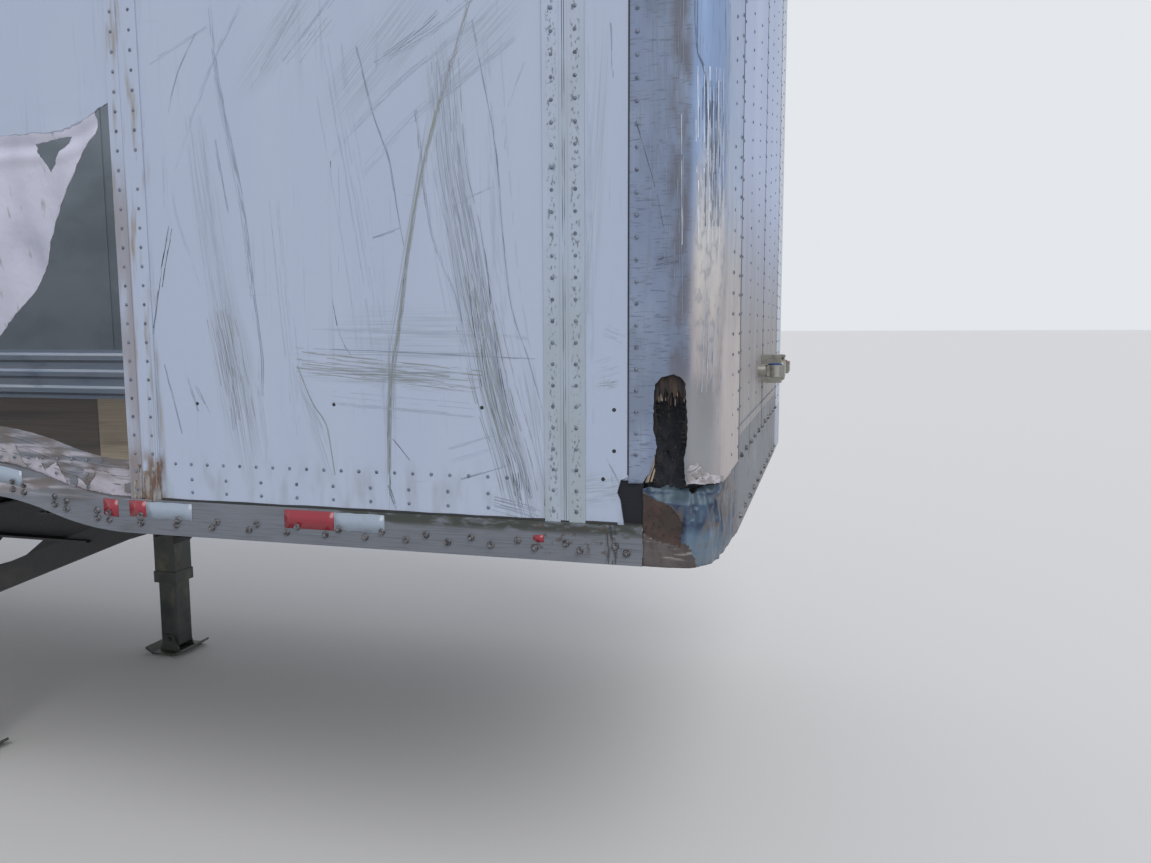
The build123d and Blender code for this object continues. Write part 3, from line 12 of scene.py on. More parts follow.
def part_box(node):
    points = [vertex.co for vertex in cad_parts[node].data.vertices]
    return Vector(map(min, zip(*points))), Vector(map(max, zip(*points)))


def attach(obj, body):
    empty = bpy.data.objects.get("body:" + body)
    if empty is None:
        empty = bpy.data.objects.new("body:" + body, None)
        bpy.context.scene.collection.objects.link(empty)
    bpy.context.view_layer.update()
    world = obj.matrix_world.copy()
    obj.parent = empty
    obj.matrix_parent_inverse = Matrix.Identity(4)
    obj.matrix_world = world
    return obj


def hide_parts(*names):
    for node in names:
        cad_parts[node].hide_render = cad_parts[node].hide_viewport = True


bl_info = {
    "name": "Van Trailer Dressing",
    "version": (1, 0, 0),
    "blender": (4, 5, 0),
    "location": "View3D > Sidebar > Van Trailer",
    "description": "Fasteners, markings, wear and wreck damage of a plate walled van trailer",
    "category": "Object",
}

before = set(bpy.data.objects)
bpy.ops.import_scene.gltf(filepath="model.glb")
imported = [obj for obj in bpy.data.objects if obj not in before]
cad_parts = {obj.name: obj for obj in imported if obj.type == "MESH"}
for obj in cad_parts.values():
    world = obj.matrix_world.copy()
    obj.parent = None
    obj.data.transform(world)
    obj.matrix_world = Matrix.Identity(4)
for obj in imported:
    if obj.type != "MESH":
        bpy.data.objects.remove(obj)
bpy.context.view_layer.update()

MM = 0.001
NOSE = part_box("front_plates")[0].y
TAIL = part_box("rear_frame")[1].y
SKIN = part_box("corner_skin_left")[1].x  # outer face of the wall plates
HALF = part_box("bottom_rail_left")[1].x  # outer face of the rails
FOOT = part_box("bottom_rail_left")[0].z
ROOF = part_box("roof_sheet")[1].z
WALL_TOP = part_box("torn_panel")[1].z
RAIL_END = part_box("bottom_rail_left")[1].y - NOSE
CORNER_R = 0.080
SEALANT_FOOT = 0.0984  # over the bottom rail's ledge, which the plates stand on
TORN_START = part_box("torn_panel")[0].y - NOSE
TORN_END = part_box("torn_panel")[1].y - NOSE
TRAILER = "trailer"
SIDES = {"left": 1, "right": -1}
BACK = (0, 1, 0)


# Helpers for meshes and places

def on_skin(side, run, height, lift=0.0):
    """A point of the plates' outer face. run goes rearward along the side from the nose, and below the
    corner's radius it goes on round the corner and over the nose."""
    turn = SKIN - CORNER_R
    if run >= CORNER_R:
        return Vector((side * (SKIN + lift), NOSE + run, FOOT + height))
    angle = min((CORNER_R - run) / CORNER_R, math.pi / 2)
    beyond = max((CORNER_R - run) - CORNER_R * math.pi / 2, 0.0)
    reach = CORNER_R + lift
    return Vector((side * (turn + reach * math.cos(angle) - beyond),
                   NOSE + CORNER_R - reach * math.sin(angle), FOOT + height))


def skin_outward(side, run):
    """The plates' outward direction at a run."""
    angle = min(max((CORNER_R - run) / CORNER_R, 0.0), math.pi / 2)
    return Vector((side * math.cos(angle), -math.sin(angle), 0.0))


def wreck_point(run, height, lift=0.0):
    """A point of the plates' outer face on the wrecked right side, in mm."""
    return on_skin(SIDES["right"], run * MM, height * MM, lift * MM)


def smooth_path(points, step):
    """Points every step along a curve through the given ones, worked out by Catmull and Rom's rule."""
    ends = [2 * points[0] - points[1], *points, 2 * points[-1] - points[-2]]
    path = []
    for a, b, c, d in zip(ends, ends[1:], ends[2:], ends[3:]):
        count = max(int((c - b).length / step), 1)
        for i in range(count):
            t = i / count
            path.append(0.5 * (2 * b + (c - a) * t + (2 * a - 5 * b + 4 * c - d) * t * t
                               + (3 * b - a - 3 * c + d) * t ** 3))
    return path + [points[-1]]


class Form:
    """The faces of one piece, gathered before they become its mesh."""

    def __init__(self):
        self.mesh = bmesh.new()

    def face(self, points, tone=0):
        self.mesh.faces.new([self.mesh.verts.new(p) for p in points]).material_index = tone

    def grid(self, rows, tone=0, loop=False):
        """Faces between rows of points. loop closes each row on itself."""
        lines = [[self.mesh.verts.new(p) for p in row] for row in rows]
        for low, high in zip(lines, lines[1:]):
            count = len(low) if loop else len(low) - 1
            for i in range(count):
                j = (i + 1) % len(low)
                self.mesh.faces.new((low[i], low[j], high[j], high[i])).material_index = tone

    def prism(self, outline, depth, tone=0):
        """An outline pushed along a vector, closed at both ends."""
        near = [Vector(p) for p in outline]
        far = [p + Vector(depth) for p in near]
        self.face(near, tone)
        self.face(far[::-1], tone)
        self.grid([near + near[:1], far + far[:1]], tone)

    def box(self, low, high, tone=0):
        (x0, y0, z0), (x1, y1, z1) = low, high
        self.prism([(x0, y0, z0), (x1, y0, z0), (x1, y1, z0), (x0, y1, z0)], (0, 0, z1 - z0), tone)

    def lathe(self, profile, centre, axis, sides=24, tone=0):
        """A profile of (radius, distance along the axis) turned round the axis."""
        axis = Vector(axis).normalized()
        across = axis.orthogonal().normalized()
        up = axis.cross(across)
        turns = [2 * math.pi * i / sides for i in range(sides)]
        spokes = [across * math.cos(a) + up * math.sin(a) for a in turns]
        self.grid([[Vector(centre) + axis * along + spoke * radius for spoke in spokes]
                   for radius, along in profile], tone, loop=True)

    def tube(self, path, radius, sides=10, tone=0):
        """A round bar along a path, capped at both ends."""
        path = [Vector(p) for p in path]
        turns = [2 * math.pi * k / sides for k in range(sides)]
        rows = []
        for i, point in enumerate(path):
            along = (path[min(i + 1, len(path) - 1)] - path[max(i - 1, 0)]).normalized()
            across = along.cross(Vector((0.31, 0.17, 0.93))).normalized()
            up = along.cross(across)
            rows.append([point + (across * math.cos(a) + up * math.sin(a)) * radius for a in turns])
        self.grid(rows, tone, loop=True)
        self.face(rows[0][::-1], tone)
        self.face(rows[-1], tone)

    def bend(self, place):
        """Moves each point of a flat sheet to where place puts its run and height."""
        for vert in self.mesh.verts:
            vert.co = place(vert.co.x, vert.co.y)

    def piece(self, name, finishes, body=TRAILER, slot=None, replaces=(), bevel=0.0, sharp=35.0, closed=True,
              wall=0.0):
        """Makes the object, smooth up to the sharp angle. A wall makes an open sheet a plate."""
        bmesh.ops.remove_doubles(self.mesh, verts=self.mesh.verts, dist=1e-5)
        if closed and not wall:
            bmesh.ops.recalc_face_normals(self.mesh, faces=self.mesh.faces)
        if bevel:
            edges = [e for e in self.mesh.edges if len(e.link_faces) == 2 and e.calc_face_angle(0) > 0.5]
            bmesh.ops.bevel(self.mesh, geom=edges, offset=bevel, segments=2, affect="EDGES", clamp_overlap=True)
        mesh = bpy.data.meshes.new(name)
        self.mesh.to_mesh(mesh)
        self.mesh.free()
        made = settle(name, mesh, finishes, body, replaces, sharp)
        if wall:
            face_outward(made)
            thicken(made, wall)
        return made


def settle(name, mesh, finishes, body, replaces, sharp):
    """Gives a finished mesh its materials and object, and sets it on its body."""
    for key in finishes:
        mesh.materials.append(FINISHES[key])
    mesh.shade_smooth()
    mesh.set_sharp_from_angle(angle=math.radians(sharp))
    made = bpy.data.objects.new(name, mesh)
    bpy.context.scene.collection.objects.link(made)
    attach(made, body)
    if replaces:
        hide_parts(*replaces)
    return made


def face_outward(piece):
    """Turns a sheet's faces to the side that is away from the trailer's middle."""
    mesh = piece.data
    middle = Vector((0, NOSE + 3.0, FOOT + 1.0))
    if sum((p.center - middle).dot(p.normal) * p.area for p in mesh.polygons) < 0:
        mesh.flip_normals()


def thicken(piece, depth):
    """Gives a sheet a wall inward of its face, kept in its mesh."""
    modifier = piece.modifiers.new("Wall", "SOLIDIFY")
    modifier.thickness, modifier.offset = depth, -1.0
    mesh = plain_mesh(piece)
    piece.modifiers.clear()
    piece.data = mesh


def plain_mesh(piece):
    """The mesh that an object's modifiers give."""
    graph = bpy.context.evaluated_depsgraph_get()
    return bpy.data.meshes.new_from_object(piece.evaluated_get(graph), depsgraph=graph)


# Materials

def linear(colour):
    """An sRGB hex value as linear RGBA."""
    channels = [int(colour[i:i + 2], 16) / 255 for i in (1, 3, 5)]
    return [c / 12.92 if c <= 0.04045 else ((c + 0.055) / 1.055) ** 2.4 for c in channels] + [1.0]


def add(tree, kind, inputs=None, **settings):
    """Adds a node with its settings. Each input takes a value, or another node's output."""
    made = tree.nodes.new(kind)
    for key, value in settings.items():
        setattr(made, key, value)
    for key, value in (inputs or {}).items():
        if isinstance(value, bpy.types.NodeSocket):
            tree.links.new(value, made.inputs[key])
        else:
            made.inputs[key].default_value = value
    return made


def ramp(tree, value, start, end, top=1.0):
    """Rises smoothly from 0 at start to top at end."""
    return add(tree, "ShaderNodeMapRange", {"Value": value, "From Min": start, "From Max": end, "To Max": top},
               interpolation_type="SMOOTHSTEP").outputs[0]


def speckle(tree, coords, size, stretch, low, high):
    """A mask of noise whose grains are size metres, drawn out by stretch along each axis."""
    scale = [1.0 / (size * s) for s in stretch]
    spread = add(tree, "ShaderNodeMapping", {"Vector": coords, "Scale": scale})
    grain = add(tree, "ShaderNodeTexNoise", {"Vector": spread.outputs[0], "Scale": 1.0, "Detail": 4.0})
    return ramp(tree, grain.outputs[0], low, high)


def times(tree, product, *factors):
    for factor in factors:
        product = add(tree, "ShaderNodeMath", {0: product, 1: factor}, operation="MULTIPLY").outputs[0]
    return product


def band(tree, value, low, high, soft):
    """1 where value lies between low and high, fading over soft at each end."""
    return times(tree, ramp(tree, value, low - soft, low), ramp(tree, value, high + soft, high))


class Marks:
    """Masks for one finish, placed by distance from the nose and height over the rail's foot."""

    def __init__(self, tree, coords):
        self.tree, self.coords = tree, coords
        self.out, self.run, self.rise = add(tree, "ShaderNodeSeparateXYZ", {0: coords}).outputs

    def grain(self, size, stretch, low, high):
        return speckle(self.tree, self.coords, size, stretch, low, high)

    def along(self, start, end, soft):
        return band(self.tree, self.run, NOSE + start, NOSE + end, soft)

    def up(self, low, high, soft):
        return band(self.tree, self.rise, FOOT + low, FOOT + high, soft)

    def rub(self, run, height, turn, length, width, streak, amount):
        """A soft oval of streaks on the side, in mm, turned by degrees."""
        tree = self.tree
        local = add(tree, "ShaderNodeMapping", {
            "Vector": self.coords, "Location": (0, NOSE + run * MM, FOOT + height * MM),
            "Rotation": (math.radians(turn), 0, 0), "Scale": (1000.0, width * MM / 2, length * MM / 2)},
            vector_type="TEXTURE").outputs[0]
        away = add(tree, "ShaderNodeVectorMath", {0: local}, operation="LENGTH").outputs["Value"]
        drawn = add(tree, "ShaderNodeMapping", {"Vector": local, "Scale": (0, width / streak / 2, 1.3)})
        lines = add(tree, "ShaderNodeTexNoise", {"Vector": drawn.outputs[0], "Scale": 1.0, "Detail": 3.0})
        return times(tree, ramp(tree, away, 1.0, 0.35, amount), ramp(tree, lines.outputs[0], 0.42, 0.62))


def finish(name, colour, roughness=0.5, metallic=0.0, stains=(), relief=(), coat=0.0, masks=None):
    """A surface of one base colour with stains over it.

    A stain is (size, stretch, low, high, colour, roughness), and relief is (size, stretch, height).
    masks adds stains of its own: it takes the finish's Marks, and returns (masks that multiply, colour,
    roughness) for each."""
    material = bpy.data.materials.new(name)
    material.use_nodes = True
    tree = material.node_tree
    tree.nodes.clear()
    shader = add(tree, "ShaderNodeBsdfPrincipled", {"Metallic": metallic, "Coat Weight": coat})
    add(tree, "ShaderNodeOutputMaterial", {"Surface": shader.outputs[0]})
    coords = add(tree, "ShaderNodeTexCoord").outputs["Object"]
    layers = [(speckle(tree, coords, size, stretch, low, high), shade, rough)
              for size, stretch, low, high, shade, rough in stains]
    if masks:
        layers += [(times(tree, *factors), shade, rough)
                   for factors, shade, rough in masks(Marks(tree, coords))]
    paint, gloss = linear(colour) if isinstance(colour, str) else list(colour), roughness
    for mask, shade, rough in layers:
        paint = add(tree, "ShaderNodeMix", {0: mask, 6: paint, 7: linear(shade)}, data_type="RGBA").outputs[2]
        gloss = add(tree, "ShaderNodeMix", {0: mask, 2: gloss, 3: rough}, data_type="FLOAT").outputs[0]
    for socket, value in (("Base Color", paint), ("Roughness", gloss)):
        if isinstance(value, bpy.types.NodeSocket):
            tree.links.new(value, shader.inputs[socket])
        else:
            shader.inputs[socket].default_value = value
    if relief:
        size, stretch, height = relief
        grain = speckle(tree, coords, size, stretch, 0.2, 0.8)
        raised = add(tree, "ShaderNodeBump", {"Height": grain, "Distance": height, "Strength": 1.0})
        tree.links.new(raised.outputs[0], shader.inputs["Normal"])
    return material


EVEN = (1, 1, 1)
ALONG = (1, 30, 1)  # drawn out along the trailer
UPRIGHT = (1, 1, 30)  # drawn out up and down

# Rub marks on the wrecked side: run, height over the rail's foot, turn, length, width, streak, amount, in mm
RUBS = [
    (1290, 430, -8, 620, 150, 3, 0.75), (1335, 760, -8, 900, 120, 3, 0.35), (840, 330, 2, 620, 40, 4, 0.9),
    (780, 780, 12, 900, 26, 4, 0.8), (860, 455, 90, 560, 62, 4, 0.95), (820, 505, 90, 760, 26, 3, 0.6),
    (600, 640, -11, 900, 120, 3, 0.8), (520, 270, -14, 620, 110, 3, 0.95), (665, 1040, -7, 620, 120, 3, 0.55),
    (790, 560, 90, 520, 170, 3, 0.35), (1550, 300, 0, 700, 60, 4, 0.7), (450, 330, -10, 420, 50, 4, 0.5),
    (1130, 1290, 42, 420, 130, 3, 0.4), (850, 1230, 44, 480, 200, 3, 0.4), (600, 1230, 48, 420, 160, 3, 0.4),
    (300, 900, 4, 900, 60, 3, 0.35), (290, 180, 80, 160, 110, 4, 0.5), (1050, 300, -19, 420, 50, 4, 0.45),
    (270, 436, 78, 76, 30, 3, 0.9),
]


def rub_marks(marks):
    """Grey green rubber and dirt, rubbed into the paint by what scraped along the side."""
    layers = [((marks.rub(*mark),), "#7f8992", 0.6) for mark in RUBS]
    post = marks.along(TORN_START - 0.055, TORN_START + 0.06, 0.02)
    behind = marks.along(TORN_START + 0.010, TORN_START + 0.06, 0.006)
    strip = marks.along(0.327, 0.425, 0.004)
    layers += [
        ((marks.up(0.05, 0.16, 0.10), marks.grain(0.05, (1, 1, 3), 0.45, 0.7), 0.5), "#868f93", 0.7),
        ((post, marks.up(-0.1, 0.2, 0.05), marks.grain(0.03, (1, 1, 4), 0.35, 0.6)), "#6d5b50", 0.8),
        ((post, marks.grain(0.02, (1, 1, 8), 0.5, 0.75)), "#8b867f", 0.7),
        ((behind, marks.up(-0.1, 0.85, 0.25), marks.grain(0.05, (1, 1, 5), 0.2, 0.55), 0.8), "#858083", 0.7),
        ((strip, marks.grain(0.2, (1, 1, 3), 0.3, 0.7)), "#939ea3", 0.6)]
    for column in (0.347, 0.405):
        near = marks.along(column - 0.006, column + 0.006, 0.010)
        layers.append(((near, marks.grain(0.008, (1, 0.8, 1.5), 0.53, 0.66), 0.75), "#535c62", 0.7))
    for groove in (0.3735, 0.3785):
        line = marks.along(groove - 0.0004, groove + 0.0004, 0.0012)
        layers.append(((line, marks.grain(0.03, (1, 1, 5), 0.35, 0.55)), "#525a64", 0.7))
    return layers


def inner_face_painted_shade(marks):
    """The side walls' faces towards the hold, dull, with their white painted grey green as it looks in shade,
    and dusty patches.
    """
    out = add(marks.tree, "ShaderNodeMath", {0: marks.out}, operation="ABSOLUTE").outputs[0]
    hold = band(marks.tree, out, -1.0, SKIN - 0.0050, 0.0008)
    return [((hold,), "#adb9c5", 0.6), ((hold, marks.grain(0.3, (1, 2, 1), 0.4, 0.7)), "#98a4af", 0.7)]


def nose_painted_reflections(marks):
    """Painted reflections on the smooth nose plates: the tan of the ground low down, over the sky's blue that
    their base colour carries.
    """
    low = marks.up(-1.0, 0.42, 0.75)
    return [((low,), "#918d8e", 0.5), ((low, marks.grain(0.05, (1, 1, 9), 0.35, 0.7), 0.6), "#7d7976", 0.55)]


# Chalked patches, rain streaks and hairlines of a plate, and its slight waves
PLATE_STAINS = [
    (0.5, (1, 1, 5), 0.35, 0.80, "#afb8ca", 0.34), (0.03, (1, 1, 24), 0.60, 0.80, "#98a2b3", 0.5),
    (0.004, (1, 1, 60), 0.68, 0.78, "#8c96a7", 0.5), (0.006, (1, 40, 1), 0.70, 0.80, "#939cad", 0.5)]
PLATE_WAVES = (0.5, (1, 1, 1.5), 0.0015)


def make_materials(colours):
    """Every finish of the trailer, by the name of its real material."""
    made = {}
    # Coil coated aluminium skin of a plastic cored plate: white, and blue-grey in open shade
    made["plate"] = finish("coil_coated_plate", colours.plate, 0.36, 0.0, PLATE_STAINS, PLATE_WAVES, coat=0.15)
    # The wall plates' faces towards the hold carry painted shade
    made["lined_plate"] = finish("coil_coated_wall_plate", colours.plate, 0.36, 0.0, PLATE_STAINS, PLATE_WAVES,
                                 coat=0.15, masks=inner_face_painted_shade)
    # Smooth nose plates: their blue base colour and its streaks are a painted reflection of the sky, with a
    # painted reflection of the tan ground low down
    made["nose_plate"] = finish("smooth_nose_plate_painted_reflections", "#8698c1", 0.32, 0.1, [
        (0.4, (1, 1, 3), 0.35, 0.75, "#90a2c7", 0.3), (0.02, (1, 1, 20), 0.62, 0.8, "#7f8bac", 0.4)],
        PLATE_WAVES, masks=nose_painted_reflections)
    # The same skin where it was scraped: rubber, dirt and bare scratches over the paint
    made["scuffed_plate"] = finish("scuffed_coil_coated_plate", colours.plate, 0.38, 0.0, PLATE_STAINS,
                                   (0.5, (1, 1, 1.5), 0.0018), coat=0.1, masks=rub_marks)
    # Inner face of a torn plate: off white liner skin, dull and dusty
    made["liner_skin"] = finish("plate_inner_skin", "#bfc0cf", 0.6, 0.0, [
        (0.25, EVEN, 0.4, 0.75, "#a6a8b6", 0.7), (0.02, (1, 1, 5), 0.62, 0.8, "#8c8a8c", 0.8)],
        (0.12, EVEN, 0.004))
    # Stainless corner sheet: scoured grey and creased by the wreck, with a painted reflection of the sky's blue
    # high on the nose and of the tan ground below it
    made["corner"] = finish("scuffed_corner_sheet_painted_light", "#78859d", 0.42, 0.25, [
        (0.09, (1, 1, 3), 0.38, 0.72, "#8793a8", 0.36), (0.004, (1, 1, 60), 0.62, 0.76, "#78828f", 0.5)],
        (0.2, (1, 1, 3), 0.003), masks=corner_scrapes_and_painted_light)
    made["corner_clean"] = finish("corner_sheet", "#a4aebd", 0.32, 0.4, [
        (0.3, (1, 1, 3), 0.4, 0.75, "#b2bbc8", 0.28), (0.004, UPRIGHT, 0.64, 0.78, "#8d97a6", 0.45)],
        (0.3, (1, 1, 2), 0.002))
    # Mill finish aluminium extrusion: dull slate grey with die lines along it
    made["rail"] = finish("mill_finish_extrusion", "#76797f", 0.5, 0.35, [
        (0.004, ALONG, 0.45, 0.75, "#65686e", 0.55), (0.08, (1, 3, 1), 0.55, 0.8, "#5e5d5e", 0.7),
        (0.3, (1, 2, 1), 0.5, 0.8, "#86898f", 0.45)], (0.004, ALONG, 0.0004))
    made["roof"] = finish("roof_sheet", "#a9adb3", 0.45, 0.2, [
        (1.2, (3, 1, 1), 0.4, 0.75, "#b4b8bd", 0.4), (0.03, (12, 1, 1), 0.6, 0.78, "#8f9294", 0.6)],
        (0.6, (3, 1, 1), 0.004))
    # The wrecked rail: dirt, and painted shade at its torn corner
    made["wrecked_rail"] = finish("dirty_extrusion_with_painted_shade", "#71757d", 0.5, 0.35, [
        (0.004, ALONG, 0.45, 0.75, "#62666d", 0.55), (0.08, (1, 3, 1), 0.55, 0.8, "#5a5b5d", 0.7),
        (0.3, (1, 2, 1), 0.5, 0.8, "#80858d", 0.45)], (0.004, ALONG, 0.0004), masks=rail_dirt_and_painted_shade)
    # Stainless plate of the sound corner's foot
    made["casting"] = finish("polished_corner_plate", "#8b96a6", 0.35, 0.4, [
        (0.05, (1, 1, 3), 0.4, 0.75, "#9aa8bb", 0.3)], (0.05, (1, 1, 2), 0.002))
    # The crumpled part, painted with reflections: the sky's steel blue all over with paler highlights, sky on
    # folds that face up, earth on those that face down
    made["casting_crushed"] = finish("crumpled_corner_plate_painted_reflections", "#3f5067", 0.4, 0.2, [
        (0.04, (1, 1, 1.6), 0.40, 0.62, "#2e415b", 0.4), (0.02, (1.5, 1.5, 1), 0.62, 0.74, "#71889d", 0.3)],
        (0.03, (1, 1, 2), 0.0012), masks=fold_painted_reflections)
    made["dull_casting"] = finish("dull_corner_plate", "#56504f", 0.6, 0.15, [
        (0.06, (1, 2, 0.6), 0.42, 0.66, "#4a4342", 0.6), (0.03, (1, 3, 0.4), 0.62, 0.7, "#7d7973", 0.5),
        (0.01, EVEN, 0.6, 0.72, "#453b38", 0.8)], (0.02, EVEN, 0.0008))
    # The rusty plate under it
    made["rust"] = finish("rusted_plate", "#382e2b", 0.8, 0.0, [
        (0.03, EVEN, 0.45, 0.65, "#463631", 0.85), (0.01, EVEN, 0.55, 0.7, "#2a2221", 0.8),
        (0.02, EVEN, 0.70, 0.76, "#6f392e", 0.85)], (0.01, EVEN, 0.0008))
    made["rusty_strip"] = finish("rust_stained_strip", "#8d8a86", 0.7, 0.1, [
        (0.02, (1, 1, 3), 0.42, 0.6, "#6a5347", 0.85), (0.008, (1, 1, 5), 0.58, 0.7, "#473933", 0.85)],
        (0.01, EVEN, 0.0008))
    # Near black wood behind the hole with the hole's shade painted into it, and the painted shade of the gap at
    # the skin's foot
    made["charred"] = finish("charred_wood", "#1d2129", 0.8, 0.0, [
        (0.02, (1, 1, 2), 0.5, 0.7, "#343233", 0.85), (0.008, EVEN, 0.64, 0.72, "#5a5754", 0.85),
        (0.05, (1, 1, 2), 0.55, 0.75, "#14171d", 0.7)], (0.006, (1, 1, 2), 0.002))
    made["bare_wood"] = finish("fresh_split_wood", "#9c8f80", 0.8, 0.0, [
        (0.006, UPRIGHT, 0.45, 0.65, "#75675a", 0.8)], (0.003, UPRIGHT, 0.0005))
    # Hot dip galvanised steel: mottled zinc spangle
    made["galvanised"] = finish("galvanised_steel", "#9aa1a6", 0.42, 0.6, [
        (0.015, EVEN, 0.4, 0.6, "#b4babf", 0.35), (0.2, (1, 1, 2), 0.55, 0.8, "#7e8489", 0.55)],
        (0.01, EVEN, 0.0002))
    # Scuff band inside the far wall: its sky blue is a painted reflection, and the bright streaks along it are
    # painted highlights on its ribs
    made["scuff_band"] = finish("galvanised_scuff_band_painted_reflection", "#c6d7ef", 0.4, 0.2, [
        (0.02, ALONG, 0.4, 0.7, "#d6e0ee", 0.35), (0.1, (1, 4, 1), 0.55, 0.8, "#9aabc2", 0.5)],
        (0.01, ALONG, 0.0003))
    made["plywood"] = finish("plywood_liner", "#a78558", 0.7, 0.0, [
        (0.01, UPRIGHT, 0.4, 0.7, "#8a6a42", 0.75), (0.3, EVEN, 0.5, 0.8, "#6f5636", 0.8)],
        (0.004, UPRIGHT, 0.0006))
    made["splintered"] = finish("charred_splintered_plywood", "#2a2627", 0.85, 0.0, [
        (0.012, (1, 1, 6), 0.45, 0.7, "#4c3a30", 0.9), (0.03, (1, 1, 3), 0.6, 0.75, "#6a5140", 0.9),
        (0.006, (1, 1, 5), 0.6, 0.7, "#131519", 0.8)], (0.01, (1, 1, 5), 0.004))
    made["floor"] = finish("laminated_hardwood_floor", "#5f554d", 0.7, 0.0, [
        (0.012, ALONG, 0.4, 0.7, "#4c4139", 0.75), (0.4, (1, 3, 1), 0.5, 0.8, "#3e3a38", 0.8)],
        (0.006, ALONG, 0.0006))
    # Black chassis paint: satin, dusty, with rust at chips
    made["chassis"] = finish("black_chassis_paint", colours.chassis, 0.5, 0.0, [
        (0.15, EVEN, 0.5, 0.8, "#2e2f31", 0.65), (0.02, (1, 1, 2), 0.66, 0.74, "#5b3c29", 0.85),
        (0.3, (1, 1, 0.5), 0.55, 0.8, "#4a4641", 0.8)], (0.02, EVEN, 0.0005))
    made["leg"] = finish("weathered_leg_paint", "#474b47", 0.5, 0.1, [
        (0.10, (1, 1, 2), 0.5, 0.75, "#77735f", 0.7), (0.02, (1, 1, 3), 0.62, 0.74, "#5b4230", 0.85),
        (0.2, EVEN, 0.5, 0.7, "#2a3031", 0.5)], (0.02, EVEN, 0.0005))
    made["kingpin"] = finish("greased_forged_steel", "#55504a", 0.3, 0.8, [
        (0.02, EVEN, 0.4, 0.7, "#2a2622", 0.2)], (0.01, EVEN, 0.0003))
    # Tyre rubber: black gone grey with dust in its grooves
    made["rubber"] = finish("worn_tyre_rubber", "#26262a", 0.75, 0.0, [
        (0.12, EVEN, 0.45, 0.75, "#3f3d3c", 0.85), (0.01, EVEN, 0.6, 0.8, "#1b1b1d", 0.8)],
        (0.004, EVEN, 0.0003))
    made["flap"] = finish("moulded_rubber", "#1f2022", 0.7, 0.0, [
        (0.2, (1, 1, 2), 0.45, 0.75, "#3a3836", 0.8)], (0.006, EVEN, 0.0003))
    # Powder coated disc wheel: white with brake dust and rust weeping from the nuts
    made["wheel"] = finish("powder_coated_wheel", colours.wheel, 0.4, 0.0, [
        (0.08, EVEN, 0.5, 0.8, "#a9a69f", 0.6), (0.02, EVEN, 0.66, 0.76, "#7d5d45", 0.8)], (0.01, EVEN, 0.0003))
    made["zinc"] = finish("zinc_plated_hardware", "#a3a29b", 0.35, 0.8, [
        (0.03, EVEN, 0.45, 0.7, "#8a8478", 0.5), (0.012, EVEN, 0.68, 0.76, "#6b4c36", 0.8)],
        (0.008, EVEN, 0.0002))
    made["rivet"] = finish("aluminium_rivet", "#6f7786", 0.45, 0.3, [(0.01, EVEN, 0.45, 0.65, "#4f5664", 0.6)])
    made["rivet_pale"] = finish("painted_rivet", "#99a2b1", 0.4, 0.1, [
        (0.02, EVEN, 0.45, 0.65, "#7a8391", 0.5)])
    made["collar"] = finish("swaged_collar", "#7c7b7e", 0.4, 0.6, [(0.008, EVEN, 0.45, 0.6, "#4a494c", 0.6)])
    made["red_tape"] = tape_finish("red_reflective_tape", colours.tape_red, "#641822")
    made["white_tape"] = tape_finish("white_reflective_tape", colours.tape_white, "#868f9b")
    made["red_lens"] = finish("red_acrylic_lens", "#b01218", 0.12, 0.0, [
        (0.01, EVEN, 0.4, 0.7, "#8c0d12", 0.1)],
                              coat=0.6)
    made["amber_lens"] = finish("amber_acrylic_lens", "#d97a14", 0.12, 0.0, [
        (0.01, EVEN, 0.4, 0.7, "#b9620c", 0.1)],
                                coat=0.6)
    made["gasket"] = finish("door_seal_rubber", "#18191b", 0.6, 0.0, [(0.1, EVEN, 0.4, 0.7, "#2b2b2c", 0.7)])
    made["remnant"] = finish("torn_plate_remnant", "#aaa6b0", 0.6, 0.0, [
        (0.05, (1, 3, 1), 0.42, 0.66, "#8a8688", 0.7), (0.02, (1, 2, 1), 0.58, 0.7, "#6c625e", 0.8)],
        (0.02, EVEN, 0.001))
    made["bare_plank"] = finish("bare_plank", "#9e917f", 0.75, 0.0, [
        (0.02, ALONG, 0.4, 0.7, "#8a7d6c", 0.8), (0.2, EVEN, 0.5, 0.8, "#796e60", 0.8)], (0.006, ALONG, 0.0005))
    made["sealant"] = finish("grey_roof_sealant", "#9b9d9f", 0.7, 0.0, [(0.05, EVEN, 0.4, 0.7, "#7d7f80", 0.8)])
    made["red_seal"] = finish("red_coupling_seal", "#8e2026", 0.6, 0.0, [
        (0.01, EVEN, 0.4, 0.7, "#6b191e", 0.7)])
    made["blue_seal"] = finish("blue_coupling_seal", "#27447c", 0.6, 0.0, [
        (0.01, EVEN, 0.4, 0.7, "#1c315a", 0.7)])
    # Outer film of the corner's foot, crumpled and bleached
    made["crumpled"] = finish("crumpled_corner_foot", "#b2adb3", 0.55, 0.1, [
        (0.02, EVEN, 0.42, 0.6, "#8f8a8a", 0.6), (0.006, (1, 1, 2), 0.66, 0.72, "#4b4a50", 0.8)],
        (0.008, EVEN, 0.002))
    # scratch tones, one of which is a painted highlight
    for tone, colour in (("faint", "#a5afc0"), ("grey", "#828c9c"), ("dark", "#4b5260"), ("dirty", "#8a9089"),
                         ("black", "#1f242c"), ("bright", "#d9e0ea")):
        made["scratch_" + tone] = finish("scratch_" + tone, colour, 0.55, 0.0,
                                         [(0.006, EVEN, 0.4, 0.7, colour, 0.7)])
    return made


